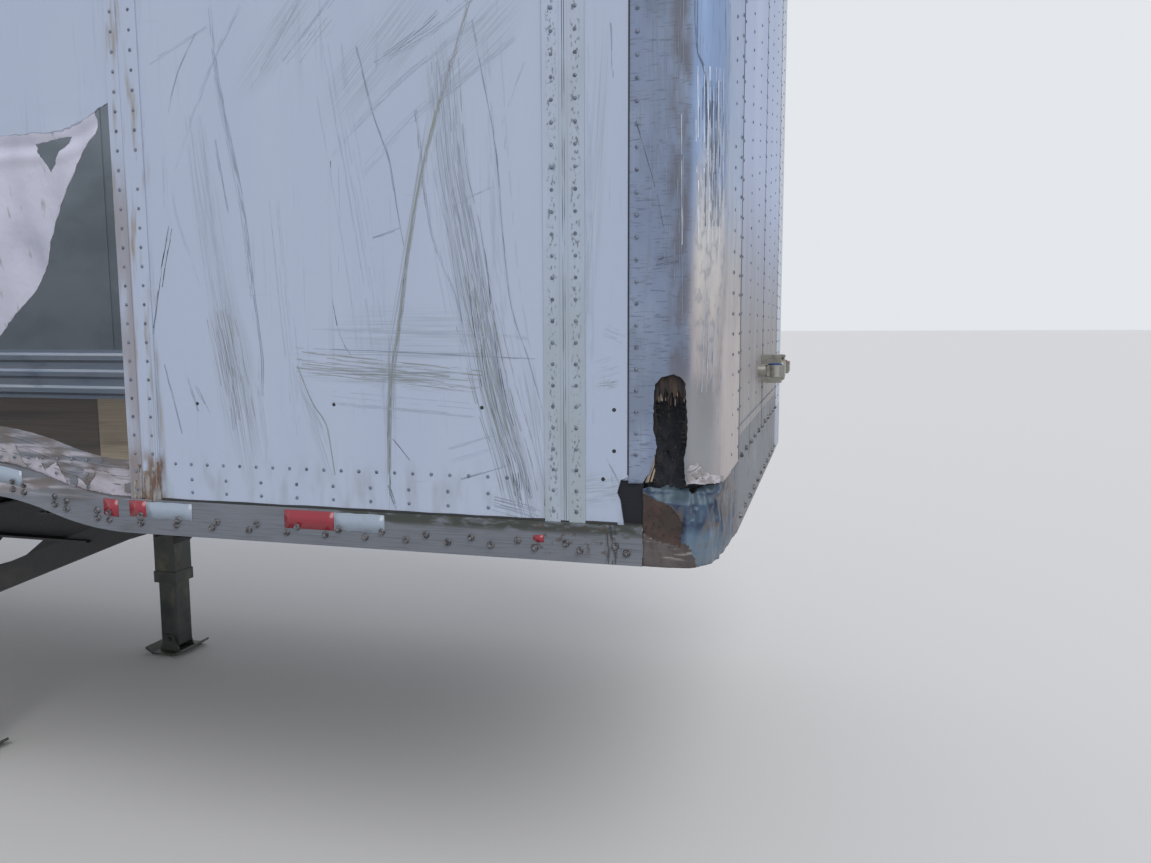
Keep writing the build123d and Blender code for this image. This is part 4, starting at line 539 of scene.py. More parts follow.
def corner_scrapes_and_painted_light(marks):
    """Scrapes the wreck rubbed into the corner's sheet, from the side seam round to the nose, darker blotches
    along its bend, and painted light: reflections of sky and ground on the nose, a highlight down the curve and
    on the ridge, shade in the hollow.
    """
    side = marks.along(0.085, 0.23, 0.02)
    bend = marks.along(0.088, 0.112, 0.022)
    front = marks.along(-0.05, 0.062, 0.03)
    glow, sheen = marks.up(0.42, 0.85, 0.25), marks.along(0.012, 0.055, 0.022)
    hollow = (marks.up(0.21, 0.40, 0.09), marks.along(0.036, 0.075, 0.036), 0.85)
    ridge = (marks.up(0.22, 0.52, 0.10), marks.along(-0.02, 0.003, 0.006), 0.5)
    # painted reflection: sky blue high on the nose, tan ground low on it; painted highlight down the curve
    # (glow, sheen) and on the ridge; painted shade in the hollow
    return [((front, marks.up(0.95, 4.0, 0.35)), "#8298bb", 0.36),
            ((front, marks.up(-1.0, 0.62, 0.30)), "#9f9899", 0.5),
            ((side, marks.grain(0.11, (1, 1, 1.6), 0.45, 0.65), 0.5), "#636e7f", 0.55),
            ((side, marks.grain(0.0035, (1, 9, 1), 0.56, 0.66), 0.6), "#565f6d", 0.6),
            ((bend, marks.grain(0.035, (1, 1, 2.6), 0.36, 0.60), 0.72), "#625f66", 0.6),
            ((front, marks.grain(0.0035, (1, 1, 22), 0.56, 0.66), 0.45), "#6b7484", 0.5),
            ((glow, sheen, marks.grain(0.05, (1, 1, 5), 0.25, 0.75), 0.8), "#c9c5c0", 0.35),
            ((glow, sheen, marks.grain(0.012, (1, 1, 2.5), 0.5, 0.66), 0.5), "#7d828c", 0.5),
            (hollow, "#84878a", 0.5), (ridge, "#bdb2ae", 0.4)]


def fold_painted_reflections(marks):
    """Painted reflections on the folds: sky blue on those that face up, tan ground on those that face down or
    ahead, painted shade where they are steep, and sky blue in the bowl at the foot.
    """
    tree = marks.tree
    normal = add(tree, "ShaderNodeNewGeometry").outputs["Normal"]
    facing = add(tree, "ShaderNodeSeparateXYZ", {0: normal}).outputs
    up, down = band(tree, facing[2], 0.45, 2.0, 0.4), band(tree, facing[2], -2.0, -0.2, 0.2)
    ahead, steep = band(tree, facing[1], -2.0, -0.82, 0.2), band(tree, facing[2], -0.02, 0.12, 0.08)
    bowl_painted_reflection = (marks.up(0.015, 0.075, 0.03), marks.along(0.02, 0.075, 0.02), 0.6)
    return [((up, 0.7), "#4d5f66", 0.5), ((steep, marks.grain(0.05, (1, 1, 3), 0.45, 0.62)), "#26344a", 0.4),
            ((ahead, marks.grain(0.03, (1, 1, 6), 0.4, 0.6), 0.8), "#756e68", 0.5),
            ((down, 0.85), "#625955", 0.5), (bowl_painted_reflection, "#6a8294", 0.35)]


def rail_dirt_and_painted_shade(marks):
    """Earth and algae under the ledge near the nose, painted shade at the torn corner where the flange lies
    hidden, grime on the bared flange.
    """
    ledge = (marks.along(0.2, 0.95, 0.15), marks.up(0.080, 0.105, 0.018),
             marks.grain(0.03, (1, 2, 0.6), 0.32, 0.52))
    patch = (marks.along(0.24, 0.44, 0.05), marks.up(0.03, 0.12, 0.02),
             marks.grain(0.018, (1, 1.2, 1), 0.54, 0.66), 0.7)
    smudge = (marks.along(0.250, 0.268, 0.01), marks.grain(0.006, (1, 1, 6), 0.45, 0.6), 0.8)
    # painted shade over the flange beside the torn corner
    torn = (marks.along(0.15, 0.262, 0.008), marks.up(0.104, 0.3, 0.006),
            marks.grain(0.02, (1, 1, 2), 0.0, 0.2))
    bared, flange = marks.along(TORN_START, TORN_END, 0.05), marks.up(0.12, 0.35, 0.04)
    return [((bared, flange, marks.grain(0.02, (1, 14, 1), 0.42, 0.6)), "#a9a5ad", 0.5),
            (ledge, "#484c47", 0.85), (patch, "#564a42", 0.9), (smudge, "#3b3a3b", 0.8),
            (torn, "#23242a", 0.85),
            ((bared, flange, marks.grain(0.05, (1, 2, 0.6), 0.42, 0.62), 0.8), "#6f6763", 0.8)]


def tape_finish(name, colour, shade):
    """Prismatic reflective tape: a fine honeycomb under a clear film."""
    def cells(marks):
        grid = add(marks.tree, "ShaderNodeTexVoronoi",
                   {"Vector": marks.coords, "Scale": 250.0, "Randomness": 0.0})
        rim = add(marks.tree, "ShaderNodeMapRange",
                  {"Value": grid.outputs["Distance"], "From Min": 0.4, "From Max": 0.6})
        return [((rim.outputs[0], 0.6), shade, 0.3)]
    return finish(name, colour, 0.25, 0.0, [(0.02, EVEN, 0.6, 0.8, shade, 0.5)], coat=0.4, masks=cells)


FINISHES = {}

NODE_FINISH = {
    "plate": ("torn_panel", "door_left", "door_right"),
    "lined_plate": ("side_wall_left", "side_wall_right_rear"),
    "nose_plate": ("front_plates",),
    "scuffed_plate": ("side_wall_right_front",),
    "corner": ("corner_skin_right",),
    "corner_clean": ("corner_skin_left",),
    "casting": ("corner_casting_left", "corner_casting_right"),
    "rail": ("bottom_rail_left", "top_rail_left", "top_rail_right", "front_bottom_rail", "front_top_rail"),
    "roof": ("roof_sheet",),
    "wrecked_rail": ("bottom_rail_right",),
    "galvanised": ("front_posts", "roof_bows", "rear_frame"),
    "scuff_band": ("scuff_bands",),
    "plywood": ("front_liner",),
    "splintered": ("corner_liner",),
    "floor": ("floor_boards",),
    "chassis": ("crossmembers", "upper_coupler", "slider_rails", "bogie_frame", "springs", "axles",
                "brake_chambers", "air_tank", "rear_guard", "landing_braces"),
    "leg": ("landing_legs", "landing_shoes", "landing_crank"),
    "kingpin": ("kingpin",),
    "rubber": ("tyres_1_left", "tyres_1_right", "tyres_2_left", "tyres_2_right"),
    "flap": ("mud_flaps", "dock_bumpers"),
    "wheel": ("wheels_1_left", "wheels_1_right", "wheels_2_left", "wheels_2_right"),
    "zinc": ("hinge_butts_left", "hinge_butts_right", "hinge_straps_left", "hinge_straps_right",
             "lock_rods_left", "lock_rods_right", "hose_couplings"),
    "red_lens": ("lamps",),
}


# Settings

class TrailerColours(bpy.types.PropertyGroup):
    """Paint and marking colours."""
    plate: FloatVectorProperty(name="Wall plate", description="White plates as they look in open shade",
                               subtype="COLOR", size=4, default=linear("#a4afc3"))
    chassis: FloatVectorProperty(name="Chassis", description="Black chassis paint", subtype="COLOR", size=4,
                                 default=linear("#1b1c1f"))
    wheel: FloatVectorProperty(name="Wheels", description="Disc wheel paint", subtype="COLOR", size=4,
                               default=linear("#c9c8c4"))
    tape_red: FloatVectorProperty(name="Red tape", description="Red marker tape", subtype="COLOR", size=4,
                                  default=linear("#901c2d"))
    # The white tape's blue grey is painted shade: its white as it looks in open shade
    tape_white: FloatVectorProperty(name="White tape", description="White marker tape", subtype="COLOR", size=4,
                                    default=linear("#929fae"))


class TrailerSizes(bpy.types.PropertyGroup):
    """Sizes of what repeats on the walls and rails."""
    rivet_pitch: FloatProperty(name="Rivet pitch", description="Distance between the rivets of a splice",
                               default=0.0508, unit="LENGTH")
    first_splice: FloatProperty(name="First splice", description="Distance of the first splice from the nose",
                                default=0.376, unit="LENGTH")
    panel_pitch: FloatProperty(name="Panel pitch", description="Width of one wall plate", default=1.2192,
                               unit="LENGTH")
    splice_count: IntProperty(name="Splices", description="Splices on each side", default=13, min=1)
    bolt_pitch: FloatProperty(name="Rail bolt pitch", description="Distance between pairs of rail bolts",
                              default=0.116, unit="LENGTH")
    tape_height: FloatProperty(name="Tape height", description="Height of the marker tape", default=0.050,
                               unit="LENGTH")
    tape_length: FloatProperty(name="Tape length", description="Length of one colour of tape", default=0.152,
                               unit="LENGTH")


class TrailerStage(bpy.types.PropertyGroup):
    """Camera and light."""
    lens: FloatProperty(name="Lens", description="Focal length for a 36 mm wide picture, in millimetres",
                        default=28.77)
    out: FloatProperty(name="Out", description="Camera's distance from the trailer's middle", default=3.417,
                       unit="LENGTH")
    ahead: FloatProperty(name="Ahead", description="Camera's distance ahead of the nose", default=0.240,
                         unit="LENGTH")
    over: FloatProperty(name="Over", description="Camera's height over the rail's foot", default=0.574,
                        unit="LENGTH")
    yaw: FloatProperty(name="Yaw", description="Turn from straight across towards the rear",
                       default=math.radians(15.495), subtype="ANGLE")
    pitch: FloatProperty(name="Pitch", description="Downward tilt", default=math.radians(6.518),
                         subtype="ANGLE")
    roll: FloatProperty(name="Roll", description="Turn about the line of sight", default=math.radians(-0.239),
                        subtype="ANGLE")
    sky: FloatProperty(name="Sky", description="Strength of the light from all round", default=0.72)
    sun: FloatProperty(name="Key", description="Strength of the soft key light", default=1.35)
    hold: FloatProperty(name="Hold", description="Power of the soft light under the roof, in watts",
                        default=90.0)


# Fasteners, by Geometry Nodes

def row_tree():
    """Heads along the edges of a guide mesh, each standing along the guide's outward direction."""
    tree = bpy.data.node_groups.new("FastenerRows", "GeometryNodeTree")
    for name, kind in (("Guide", "Geometry"), ("Head", "Object"), ("Pitch", "Float"), ("Missing", "Float"),
                       ("Turn", "Float"), ("Seed", "Int"), ("Material", "Material")):
        tree.interface.new_socket(name, in_out="INPUT", socket_type="NodeSocket" + kind)
    tree.interface.new_socket("Fasteners", in_out="OUTPUT", socket_type="NodeSocketGeometry")
    given = add(tree, "NodeGroupInput").outputs
    curve = add(tree, "GeometryNodeMeshToCurve", {"Mesh": given["Guide"]})
    points = add(tree, "GeometryNodeResampleCurve", {"Curve": curve.outputs[0], "Length": given["Pitch"]},
                 mode="LENGTH")
    outward = add(tree, "GeometryNodeInputNamedAttribute", {"Name": "outward"}, data_type="FLOAT_VECTOR")
    facing = add(tree, "FunctionNodeAlignRotationToVector", {"Vector": outward.outputs[0]}, axis="Z")
    kept = add(tree, "FunctionNodeRandomValue", {"Probability": given["Missing"], "Seed": given["Seed"]},
               data_type="BOOLEAN")
    gone = add(tree, "FunctionNodeBooleanMath", {0: kept.outputs[3]}, operation="NOT")
    size = add(tree, "FunctionNodeRandomValue", {2: 0.93, 3: 1.07, "Seed": given["Seed"]}, data_type="FLOAT")
    head = add(tree, "GeometryNodeObjectInfo", {"Object": given["Head"], "As Instance": True})
    heads = add(tree, "GeometryNodeInstanceOnPoints", {
        "Points": points.outputs[0], "Selection": gone.outputs[0], "Instance": head.outputs["Geometry"],
        "Rotation": facing.outputs[0], "Scale": size.outputs[1]})
    spin = add(tree, "FunctionNodeRandomValue", {2: 0.0, 3: given["Turn"], "Seed": given["Seed"]},
               data_type="FLOAT")
    about = add(tree, "ShaderNodeCombineXYZ", {2: spin.outputs[1]})
    turned = add(tree, "GeometryNodeRotateInstances",
                 {"Instances": heads.outputs[0], "Rotation": about.outputs[0]})
    real = add(tree, "GeometryNodeRealizeInstances", {"Geometry": turned.outputs[0]})
    painted = add(tree, "GeometryNodeSetMaterial", {"Geometry": real.outputs[0], "Material": given["Material"]})
    add(tree, "NodeGroupOutput", {0: painted.outputs[0]})
    return tree


# Heads as (radius, height) profiles, in mm
HEADS = {
    "rivet": [(4.8, -0.5), (4.8, 0.4), (3.6, 1.7), (1.2, 2.4)],
    "collar": [(9.5, -0.5), (9.5, 1.5), (7.8, 3.0), (7.2, 7.0), (5.4, 7.6), (4.6, 5.6), (4.2, 9.0), (1.5, 9.6)],
    "bolt": [(12.0, -0.5), (12.0, 2.0), (9.5, 2.0), (9.5, 8.5), (8.0, 9.5), (4.5, 9.5), (4.5, 14.0),
             (1.0, 14.5)],
    "nut": [(23.0, -1.0), (23.0, 3.0), (18.0, 5.0), (17.0, 20.0), (14.0, 23.0), (10.5, 23.0), (10.5, 34.0),
            (2.0, 35.0)],
}
HEAD_SIDES = {"rivet": 8, "collar": 10, "bolt": 6, "nut": 6}


def head_object(kind, scale):
    form = Form()
    profile = [(radius * MM * scale, height * MM * scale) for radius, height in HEADS[kind]]
    form.lathe(profile, (0, 0, 0), (0, 0, 1), HEAD_SIDES[kind])
    form.mesh.faces.new(form.mesh.verts[:][-HEAD_SIDES[kind]:])
    bmesh.ops.recalc_face_normals(form.mesh, faces=form.mesh.faces)
    mesh = bpy.data.meshes.new("head_" + kind)
    form.mesh.to_mesh(mesh)
    form.mesh.free()
    made = bpy.data.objects.new("head_" + kind, mesh)
    bpy.context.scene.collection.objects.link(made)
    return made


def fasten(name, rows, kind, pitch, finish_key, body=TRAILER, missing=0.0, seed=1, scale=1.0, turn=2 * math.pi):
    """Rows of one kind of head. A row is (start, end, outward), or (points of a closed ring, None, outward)."""
    guide = bpy.data.meshes.new(name + "_guide")
    points, edges, outward = [], [], []
    for start, end, facing in rows:
        first = len(points)
        ring = start if end is None else (start, end)
        points += [tuple(p) for p in ring]
        edges += [(first + i, first + i + 1) for i in range(len(ring) - 1)]
        if end is None:
            edges.append((first + len(ring) - 1, first))
        outward += [facing] * len(ring)
    guide.from_pydata(points, edges, [])
    attribute = guide.attributes.new("outward", "FLOAT_VECTOR", "POINT")
    attribute.data.foreach_set("vector", [x for v in outward for x in v])
    carrier = bpy.data.objects.new(name + "_guide", guide)
    bpy.context.scene.collection.objects.link(carrier)
    head = head_object(kind, scale)
    tree = bpy.data.node_groups.get("FastenerRows") or row_tree()
    modifier = carrier.modifiers.new("Rows", "NODES")
    modifier.node_group = tree
    values = {"Head": head, "Pitch": pitch, "Missing": missing, "Turn": turn, "Seed": seed,
              "Material": FINISHES[finish_key]}
    for item in tree.interface.items_tree:
        if item.name in values:
            modifier[item.identifier] = values[item.name]
    mesh = plain_mesh(carrier)
    mesh.name = name
    carrier.modifiers.remove(modifier)
    for spare in (carrier, head):
        bpy.data.objects.remove(spare)
    mesh.materials.clear()
    settle(name, mesh, [finish_key], body, (), 50.0)


def wall_row(side, start, end, low, high, lift=0.0):
    """A row of heads on a side wall, from one run and height to another."""
    return on_skin(side, start, low, lift), on_skin(side, end, high, lift), (side, 0, 0)


def nose_row(start, end, low, high):
    return (start, NOSE, FOOT + low), (end, NOSE, FOOT + high), (0, -1, 0)


SPLICE_PROUD = 0.0029  # how far a splice strip stands off the plate
SPLICE_ROWS = (-0.029, 0.029)  # a splice's two rows of rivets, from its middle
RAIL_PROUD = 0.0052  # how far the top rail stands off the plate
TORN_SPLICE, TORN_PLATE = 2, 3  # the splice that is gone and the plate that is torn, counted from the nose
CORNER_SEAM = 0.220
NOSE_BOLT_PITCH = 0.152


class VANTRAILER_OT_wall_rivets(bpy.types.Operator):
    """Rivets of the splices, the plates' feet and the top rails"""
    bl_idname = "vantrailer.wall_rivets"
    bl_label = "Wall Rivets"

    def execute(self, context):
        sizes = context.scene.trailer_sizes
        pitch = sizes.rivet_pitch
        splices = [sizes.first_splice + i * sizes.panel_pitch for i in range(sizes.splice_count)]
        joints = [CORNER_SEAM, *splices, RAIL_END]
        for place, side in SIDES.items():
            rows = [wall_row(side, at + off, at + off, 0.125, 2.74, SPLICE_PROUD)
                    for number, at in enumerate(splices) if side > 0 or number != TORN_SPLICE
                    for off in SPLICE_ROWS]
            fasten(f"splice_rivets_{place}", rows, "rivet", pitch, "rivet", missing=0.01, seed=3)
            rows, wide = [], []
            for number, (start, end) in enumerate(zip(joints, joints[1:])):
                if side < 0 and number in (0, TORN_PLATE):
                    continue
                a, b = (start + 0.03, end - 0.08) if number == 0 else (start + 0.15, end - 0.10)
                rows.append(wall_row(side, a, b, 0.202, 0.202))
                wide += [wall_row(side, a + pitch, b - pitch, height, height) for height in (0.160, 0.124)]
            fasten(f"foot_rivets_{place}", rows, "rivet", pitch, "rivet", missing=0.01, seed=4)
            fasten(f"foot_rivets_wide_{place}", wide, "rivet", 2 * pitch, "rivet", seed=5)
            high = [wall_row(side, 0.10, RAIL_END - 0.02, up, up, RAIL_PROUD) for up in (2.868, 2.905)]
            fasten(f"top_rail_rivets_{place}", high, "rivet", pitch, "rivet_pale", seed=6)
        return {"FINISHED"}


class VANTRAILER_OT_nose_rivets(bpy.types.Operator):
    """Rivets of the corner skins and the nose"""
    bl_idname = "vantrailer.nose_rivets"
    bl_label = "Nose Rivets"

    def execute(self, context):
        pitch = context.scene.trailer_sizes.rivet_pitch
        top = WALL_TOP - FOOT - 0.15
        rows = []
        for side in SIDES.values():
            for run, low in ((0.201, 0.245 if side > 0 else 0.27), (-0.205, 0.245), (-0.360, 0.245)):
                rows.append((on_skin(side, run, low), on_skin(side, run, top), skin_outward(side, run)))
        rows += [nose_row(x, x, 0.30, top) for x in (-0.835, -0.57, -0.285, -0.018, 0.018, 0.285, 0.57, 0.835)]
        rows += [nose_row(-0.84, 0.84, height, height) for height in (0.30, top + 0.04)]
        fasten("nose_rivets", rows, "rivet", pitch, "rivet", missing=0.01, seed=8)
        bolts = [nose_row(-0.80, 0.80, height, height) for height in (0.035, 0.21)]
        fasten("nose_rail_bolts", bolts, "collar", NOSE_BOLT_PITCH, "collar", seed=9)
        return {"FINISHED"}


class VANTRAILER_OT_rail_bolts(bpy.types.Operator):
    """Swaged collars in staggered pairs along the bottom rails"""
    bl_idname = "vantrailer.rail_bolts"
    bl_label = "Rail Bolts"

    def execute(self, context):
        pitch, proud = context.scene.trailer_sizes.bolt_pitch, HALF - SKIN
        for place, side in SIDES.items():
            start, end = 0.222, RAIL_END - 0.05
            spans = [(start, end)] if side > 0 else [(start, TORN_START + 0.02), (TORN_END - 0.02, end)]
            rows = []
            for a, b in spans:
                rows.append(wall_row(side, a, b, 0.030, 0.030, proud))
                rows.append(wall_row(side, a + 0.028, b, 0.046, 0.046, proud))
            if side < 0:
                a, b = spans[0][1], spans[1][0]
                starts = [a + (b - a) * i / BOW_STEPS for i in range(BOW_STEPS + 1)]
                for a, b in zip(starts, starts[1:]):
                    b -= 0.04
                    rows += [wall_row(side, a, b, up + bow(a), up + bow(b), proud) for up in (0.030, 0.052)]
            fasten(f"rail_bolts_{place}", rows, "collar", pitch, "collar", seed=11)
        return {"FINISHED"}


# How the wrecked rail bows up where its panel is torn off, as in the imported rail
BOW_START = TORN_START + 0.053
BOW_HALF = 0.5566
BOW_RISE = 0.090
BOW_STEPS = 8  # straight rows of collars that follow it


def bow(run):
    """Rise of the wrecked rail at a run: two tangent arcs up to the middle and two down again."""
    along = BOW_HALF - abs(run - BOW_START - BOW_HALF)
    if along <= 0:
        return 0.0
    radius = ((BOW_HALF / 2) ** 2 + (BOW_RISE / 2) ** 2) / BOW_RISE
    if along < BOW_HALF / 2:
        return radius - math.sqrt(radius ** 2 - along ** 2)
    return BOW_RISE - radius + math.sqrt(radius ** 2 - (BOW_HALF - along) ** 2)


def bowed(run, height, lift):
    """A point of the wrecked side that rises with its rail, in mm."""
    return on_skin(SIDES["right"], run * MM, height * MM + bow(run * MM), lift * MM)


# What the wreck left of the tape near the nose: start, end, low, high in mm, tone, ragged
TAPE_LEFT = (
    (1008, 1157, 42, 92, 0, 0), (862, 1008, 42, 92, 1, 5), (430, 458, 44, 64, 0, 6),
    (1596, 1652, 46, 95, 0, 3), (1690, 1740, 42, 92, 0, 3), (1446, 1596, 44, 93, 1, 4),
    (2022, 2125, 42, 92, 1, 3),
)
TAPE_T = 0.0004


class VANTRAILER_OT_marker_tape(bpy.types.Operator):
    """Red and white reflective tape on the rails, the rear and the doors"""
    bl_idname = "vantrailer.marker_tape"
    bl_label = "Marker Tape"

    def execute(self, context):
        sizes = context.scene.trailer_sizes
        low, high, length = 0.042, 0.042 + sizes.tape_height, sizes.tape_length
        form = Form()
        draw = random.Random(21)

        def strip(side, start, end, tone, a=low, b=high, ragged=0.0):
            steps = max(int((end - start) / 0.02), 2)
            runs = [start + (end - start) * i / steps for i in range(steps + 1)]
            cuts = [draw.uniform(0, ragged) for _ in runs]
            rows = [[], []]
            for run, cut in zip(runs, cuts):
                rise = bow(run) if side < 0 else 0.0
                for row, height in zip(rows, (a + rise + cut, b + rise - cut * 0.5)):
                    row.append(on_skin(side, run, height, HALF - SKIN + TAPE_T))
            form.grid(rows if side < 0 else rows[::-1], tone)

        for start, end, a, b, tone, ragged in TAPE_LEFT:
            strip(-1, start * MM, end * MM, tone, a * MM, b * MM, ragged * MM)
        for side, run in ((1, 0.35), (-1, 3.05)):
            while run + 2 * length < RAIL_END:
                strip(side, run, run + length, 0)
                strip(side, run + length, run + 2 * length, 1)
                run += 4 * length
        back = TAIL + TAPE_T
        for i in range(14):
            x, z = -1.07 + i * length, FOOT + 0.105
            end, top = x + length, z + 0.050
            form.face([(x, back, top), (end, back, top), (end, back, z), (x, back, z)], i % 2)
        for side in SIDES.values():
            for a, b in (((1.28, ROOF - 0.06), (0.98, ROOF - 0.01)),
                         ((1.28, ROOF - 0.36), (1.23, ROOF - 0.06))):
                corners = [(side * x, back, z) for x, z in (a, (b[0], a[1]), b, (a[0], b[1]))]
                form.face(corners if side < 0 else corners[::-1], 1)
        thicken(form.piece("marker_tape", ["red_tape", "white_tape"], closed=False), TAPE_T)
        return {"FINISHED"}


# Scratches, and one bundle that is a painted highlight: tone, width in mm, fibres, then points as (run, height
# over the rail's foot) in mm
SCRATCHES = [
   
    ("grey", 10, 7, (1320, 1450), (1310, 1250), (1280, 1075), (1245, 875), (1225, 650), (1210, 495),
     (1215, 395)), ("faint", 14, 6, (1215, 420), (1205, 300), (1200, 220)),
    ("faint", 40, 8, (1375, 1125), (1350, 825), (1320, 580), (1295, 350)),
    ("grey", 12, 4, (1318, 1060), (1290, 875)), ("dirty", 70, 14, (1330, 620), (1300, 470), (1275, 330)),
    ("grey", 26, 6, (1340, 580), (1315, 485), (1300, 300)),
    ("black", 3, 4, (1475, 845), (1505, 740), (1545, 560)),
    ("black", 2, 4, (1466, 838), (1495, 735), (1531, 570)), ("dark", 2, 1, (1550, 600), (1555, 530)),
    ("grey", 4, 3, (1365, 1330), (1425, 1235), (1460, 1140)), ("faint", 8, 3, (1485, 1030), (1490, 890)),
    ("faint", 8, 4, (1460, 950), (1450, 865), (1390, 680)),
    ("faint", 12, 4, (1230, 1385), (1325, 1245), (1450, 990)),
    ("faint", 16, 5, (1050, 1400), (1120, 1300), (1180, 1225)),
    ("faint", 22, 6, (950, 1390), (1025, 1310), (1105, 1235)), ("faint", 14, 4, (970, 1330), (1065, 1235)),
    ("grey", 5, 4, (905, 1260), (865, 1100), (825, 985), (805, 855), (790, 775)),
    ("faint", 4, 3, (845, 1320), (860, 1140)),
    ("dirty", 9, 12, (600, 1350), (620, 1295), (710, 1045), (770, 810), (805, 595), (835, 435),
     (845, 310), (845, 155)), ("grey", 12, 8, (770, 810), (805, 595), (835, 435), (845, 310), (845, 155)),
    ("dark", 3, 2, (835, 435), (845, 310), (845, 150)), ("black", 8, 4, (850, 170), (838, 135), (828, 108)),
    ("grey", 90, 16, (670, 1210), (655, 960), (620, 805), (590, 605), (550, 400), (505, 255), (480, 150)),
    ("dirty", 70, 22, (625, 700), (590, 560), (550, 400), (505, 255), (480, 150)),
    ("faint", 70, 14, (690, 1150), (665, 805), (630, 600)),
    ("dark", 50, 6, (600, 760), (560, 420), (500, 230), (478, 150)),
    ("grey", 4, 4, (600, 1295), (575, 1160), (545, 995), (530, 800), (510, 620), (470, 500), (435, 375)),
    ("dark", 2, 2, (575, 1170), (545, 995), (530, 800), (510, 620)),
    ("grey", 6, 5, (750, 1100), (725, 855), (700, 755), (655, 645), (635, 530)),
    ("faint", 22, 7, (590, 1350), (705, 1280), (855, 1215)),
    ("faint", 18, 6, (495, 1250), (635, 1160), (760, 1085), (900, 960)),
    ("faint", 22, 6, (570, 1300), (795, 1160), (980, 1000)),
    ("grey", 14, 5, (640, 1360), (720, 1290), (855, 1215)),
    ("grey", 5, 4, (1110, 520), (815, 510), (600, 500), (450, 495)),
    ("faint", 10, 4, (1055, 570), (760, 560), (470, 545)),
    ("dirty", 46, 20, (1105, 478), (835, 452), (590, 430)),
    ("faint", 60, 10, (1005, 410), (820, 398), (610, 385)),
    ("dirty", 12, 6, (1105, 475), (1065, 380), (1025, 315), (1005, 190)),
    ("dark", 2, 2, (995, 645), (980, 565), (960, 520)), ("grey", 2, 2, (965, 530), (935, 485)),
    ("grey", 3, 3, (875, 795), (770, 825)), ("faint", 6, 3, (680, 860), (550, 910)),
    ("dark", 2, 2, (835, 290), (800, 250), (765, 210)), ("dark", 2, 1, (985, 990), (985, 955)),
    ("dark", 1, 1, (1200, 1240), (1205, 1205)), ("faint", 5, 3, (470, 1190), (530, 1050)),
    ("grey", 2, 2, (520, 1040), (520, 995)), ("faint", 8, 4, (680, 270), (550, 310)),
    ("faint", 8, 4, (675, 240), (560, 275)), ("grey", 8, 4, (650, 195), (525, 235)),
    ("grey", 12, 5, (1515, 475), (1470, 285)), ("grey", 8, 3, (1440, 440), (1410, 350)),
    ("grey", 12, 4, (1415, 420), (1370, 330)), ("faint", 10, 4, (1330, 1345), (1510, 1270)),
    ("faint", 10, 4, (945, 1270), (935, 1145)), ("black", 5, 4, (475, 205), (470, 150)),
    ("dark", 26, 8, (500, 215), (490, 130)), ("grey", 46, 12, (560, 150), (470, 130), (440, 120)),
    ("black", 9, 5, (420, 195), (424, 120)), ("faint", 30, 8, (330, 1290), (320, 700), (318, 300)),
    ("grey", 3, 2, (262, 1260), (257, 1140)), ("faint", 40, 6, (280, 560), (230, 540)),
    ("faint", 40, 6, (300, 480), (232, 500)), ("dark", 3, 2, (262, 235), (258, 180)),
    ("grey", 3, 2, (275, 260), (240, 200)), ("faint", 60, 9, (1000, 1330), (900, 700), (860, 300)),
    ("faint", 50, 6, (1150, 900), (1120, 500), (1100, 250)),
    ("faint", 50, 7, (560, 1250), (520, 700), (450, 300)),
    ("dark", 3, 3, (75, 1400), (67, 1200), (48, 1138), (34, 1000), (27, 920)),
    ("dark", 2, 2, (73, 1400), (66, 1300), (64, 1180)), ("dark", 2, 2, (203, 1039), (162, 906), (138, 800)),
    ("grey", 2, 2, (163, 1060), (150, 997), (127, 900)), ("dark", 2, 2, (-5, 1340), (-15, 1180)),
    # the pale bundle on this line is a painted highlight down the corner's curve
    ("dark", 60, 26, (20, 1120), (20, 800)), ("bright", 70, 20, (30, 1150), (25, 760)),
    ("grey", 40, 12, (110, 1400), (108, 900), (106, 600)),
    ("grey", 30, 8, (160, 1390), (150, 900), (165, 500)), ("grey", 50, 12, (-40, 1300), (-60, 800)),
    ("faint", 80, 14, (10, 760), (20, 420)), ("dark", 8, 3, (150, 730), (96, 742)),
    ("dark", 5, 3, (156, 715), (100, 722)), ("dark", 4, 2, (150, 690), (110, 702)),
]


TONES = ("faint", "grey", "dark", "dirty", "black", "bright")
SCRATCH_LIFT = 0.0005  # a scratch's faces over the plate's, with each fibre a little over the one before


def scratch(form, side, mark, order):
    """One mark as a bundle of broken, uneven fibres on the plate's face."""
    tone, width, fibres, *points = mark
    path = smooth_path([Vector((a, b, 0)) for a, b in points], 14.0)
    draw = random.Random(order)
    for fibre in range(fibres):
        off = draw.gauss(0, 0.35) * width
        first = int(len(path) * max(draw.uniform(-0.3, 0.35), 0))
        last = int(len(path) * min(draw.uniform(0.55, 1.3), 1.0))
        thick = draw.uniform(0.7, 1.9) * (1.25 if fibre == 0 else 1.0)
        strand = []
        for i in range(first, last):
            along = (path[min(i + 1, len(path) - 1)] - path[max(i - 1, 0)]).normalized()
            across = Vector((-along.y, along.x, 0))
            wave = noise.noise(Vector((i * 0.21, fibre * 7.3, order * 1.7)))
            weight = 0.5 + noise.noise(Vector((i * 0.45, fibre * 3.1, order * 5.1)))
            if weight < 0.16:
                strand.append(None)
                continue
            middle = path[i] + across * (off + wave * 1.6)
            half = across * thick * min(weight, 1.1) * 0.5
            strand.append([on_skin(side, p.x * MM, p.y * MM, SCRATCH_LIFT + fibre * 0.00001)
                           for p in (middle - half, middle + half)])
        for a, b in zip(strand, strand[1:]):
            if a and b:
                form.face((a[0], b[0], b[1], a[1]) if side > 0 else (a[1], b[1], b[0], a[0]), TONES.index(tone))


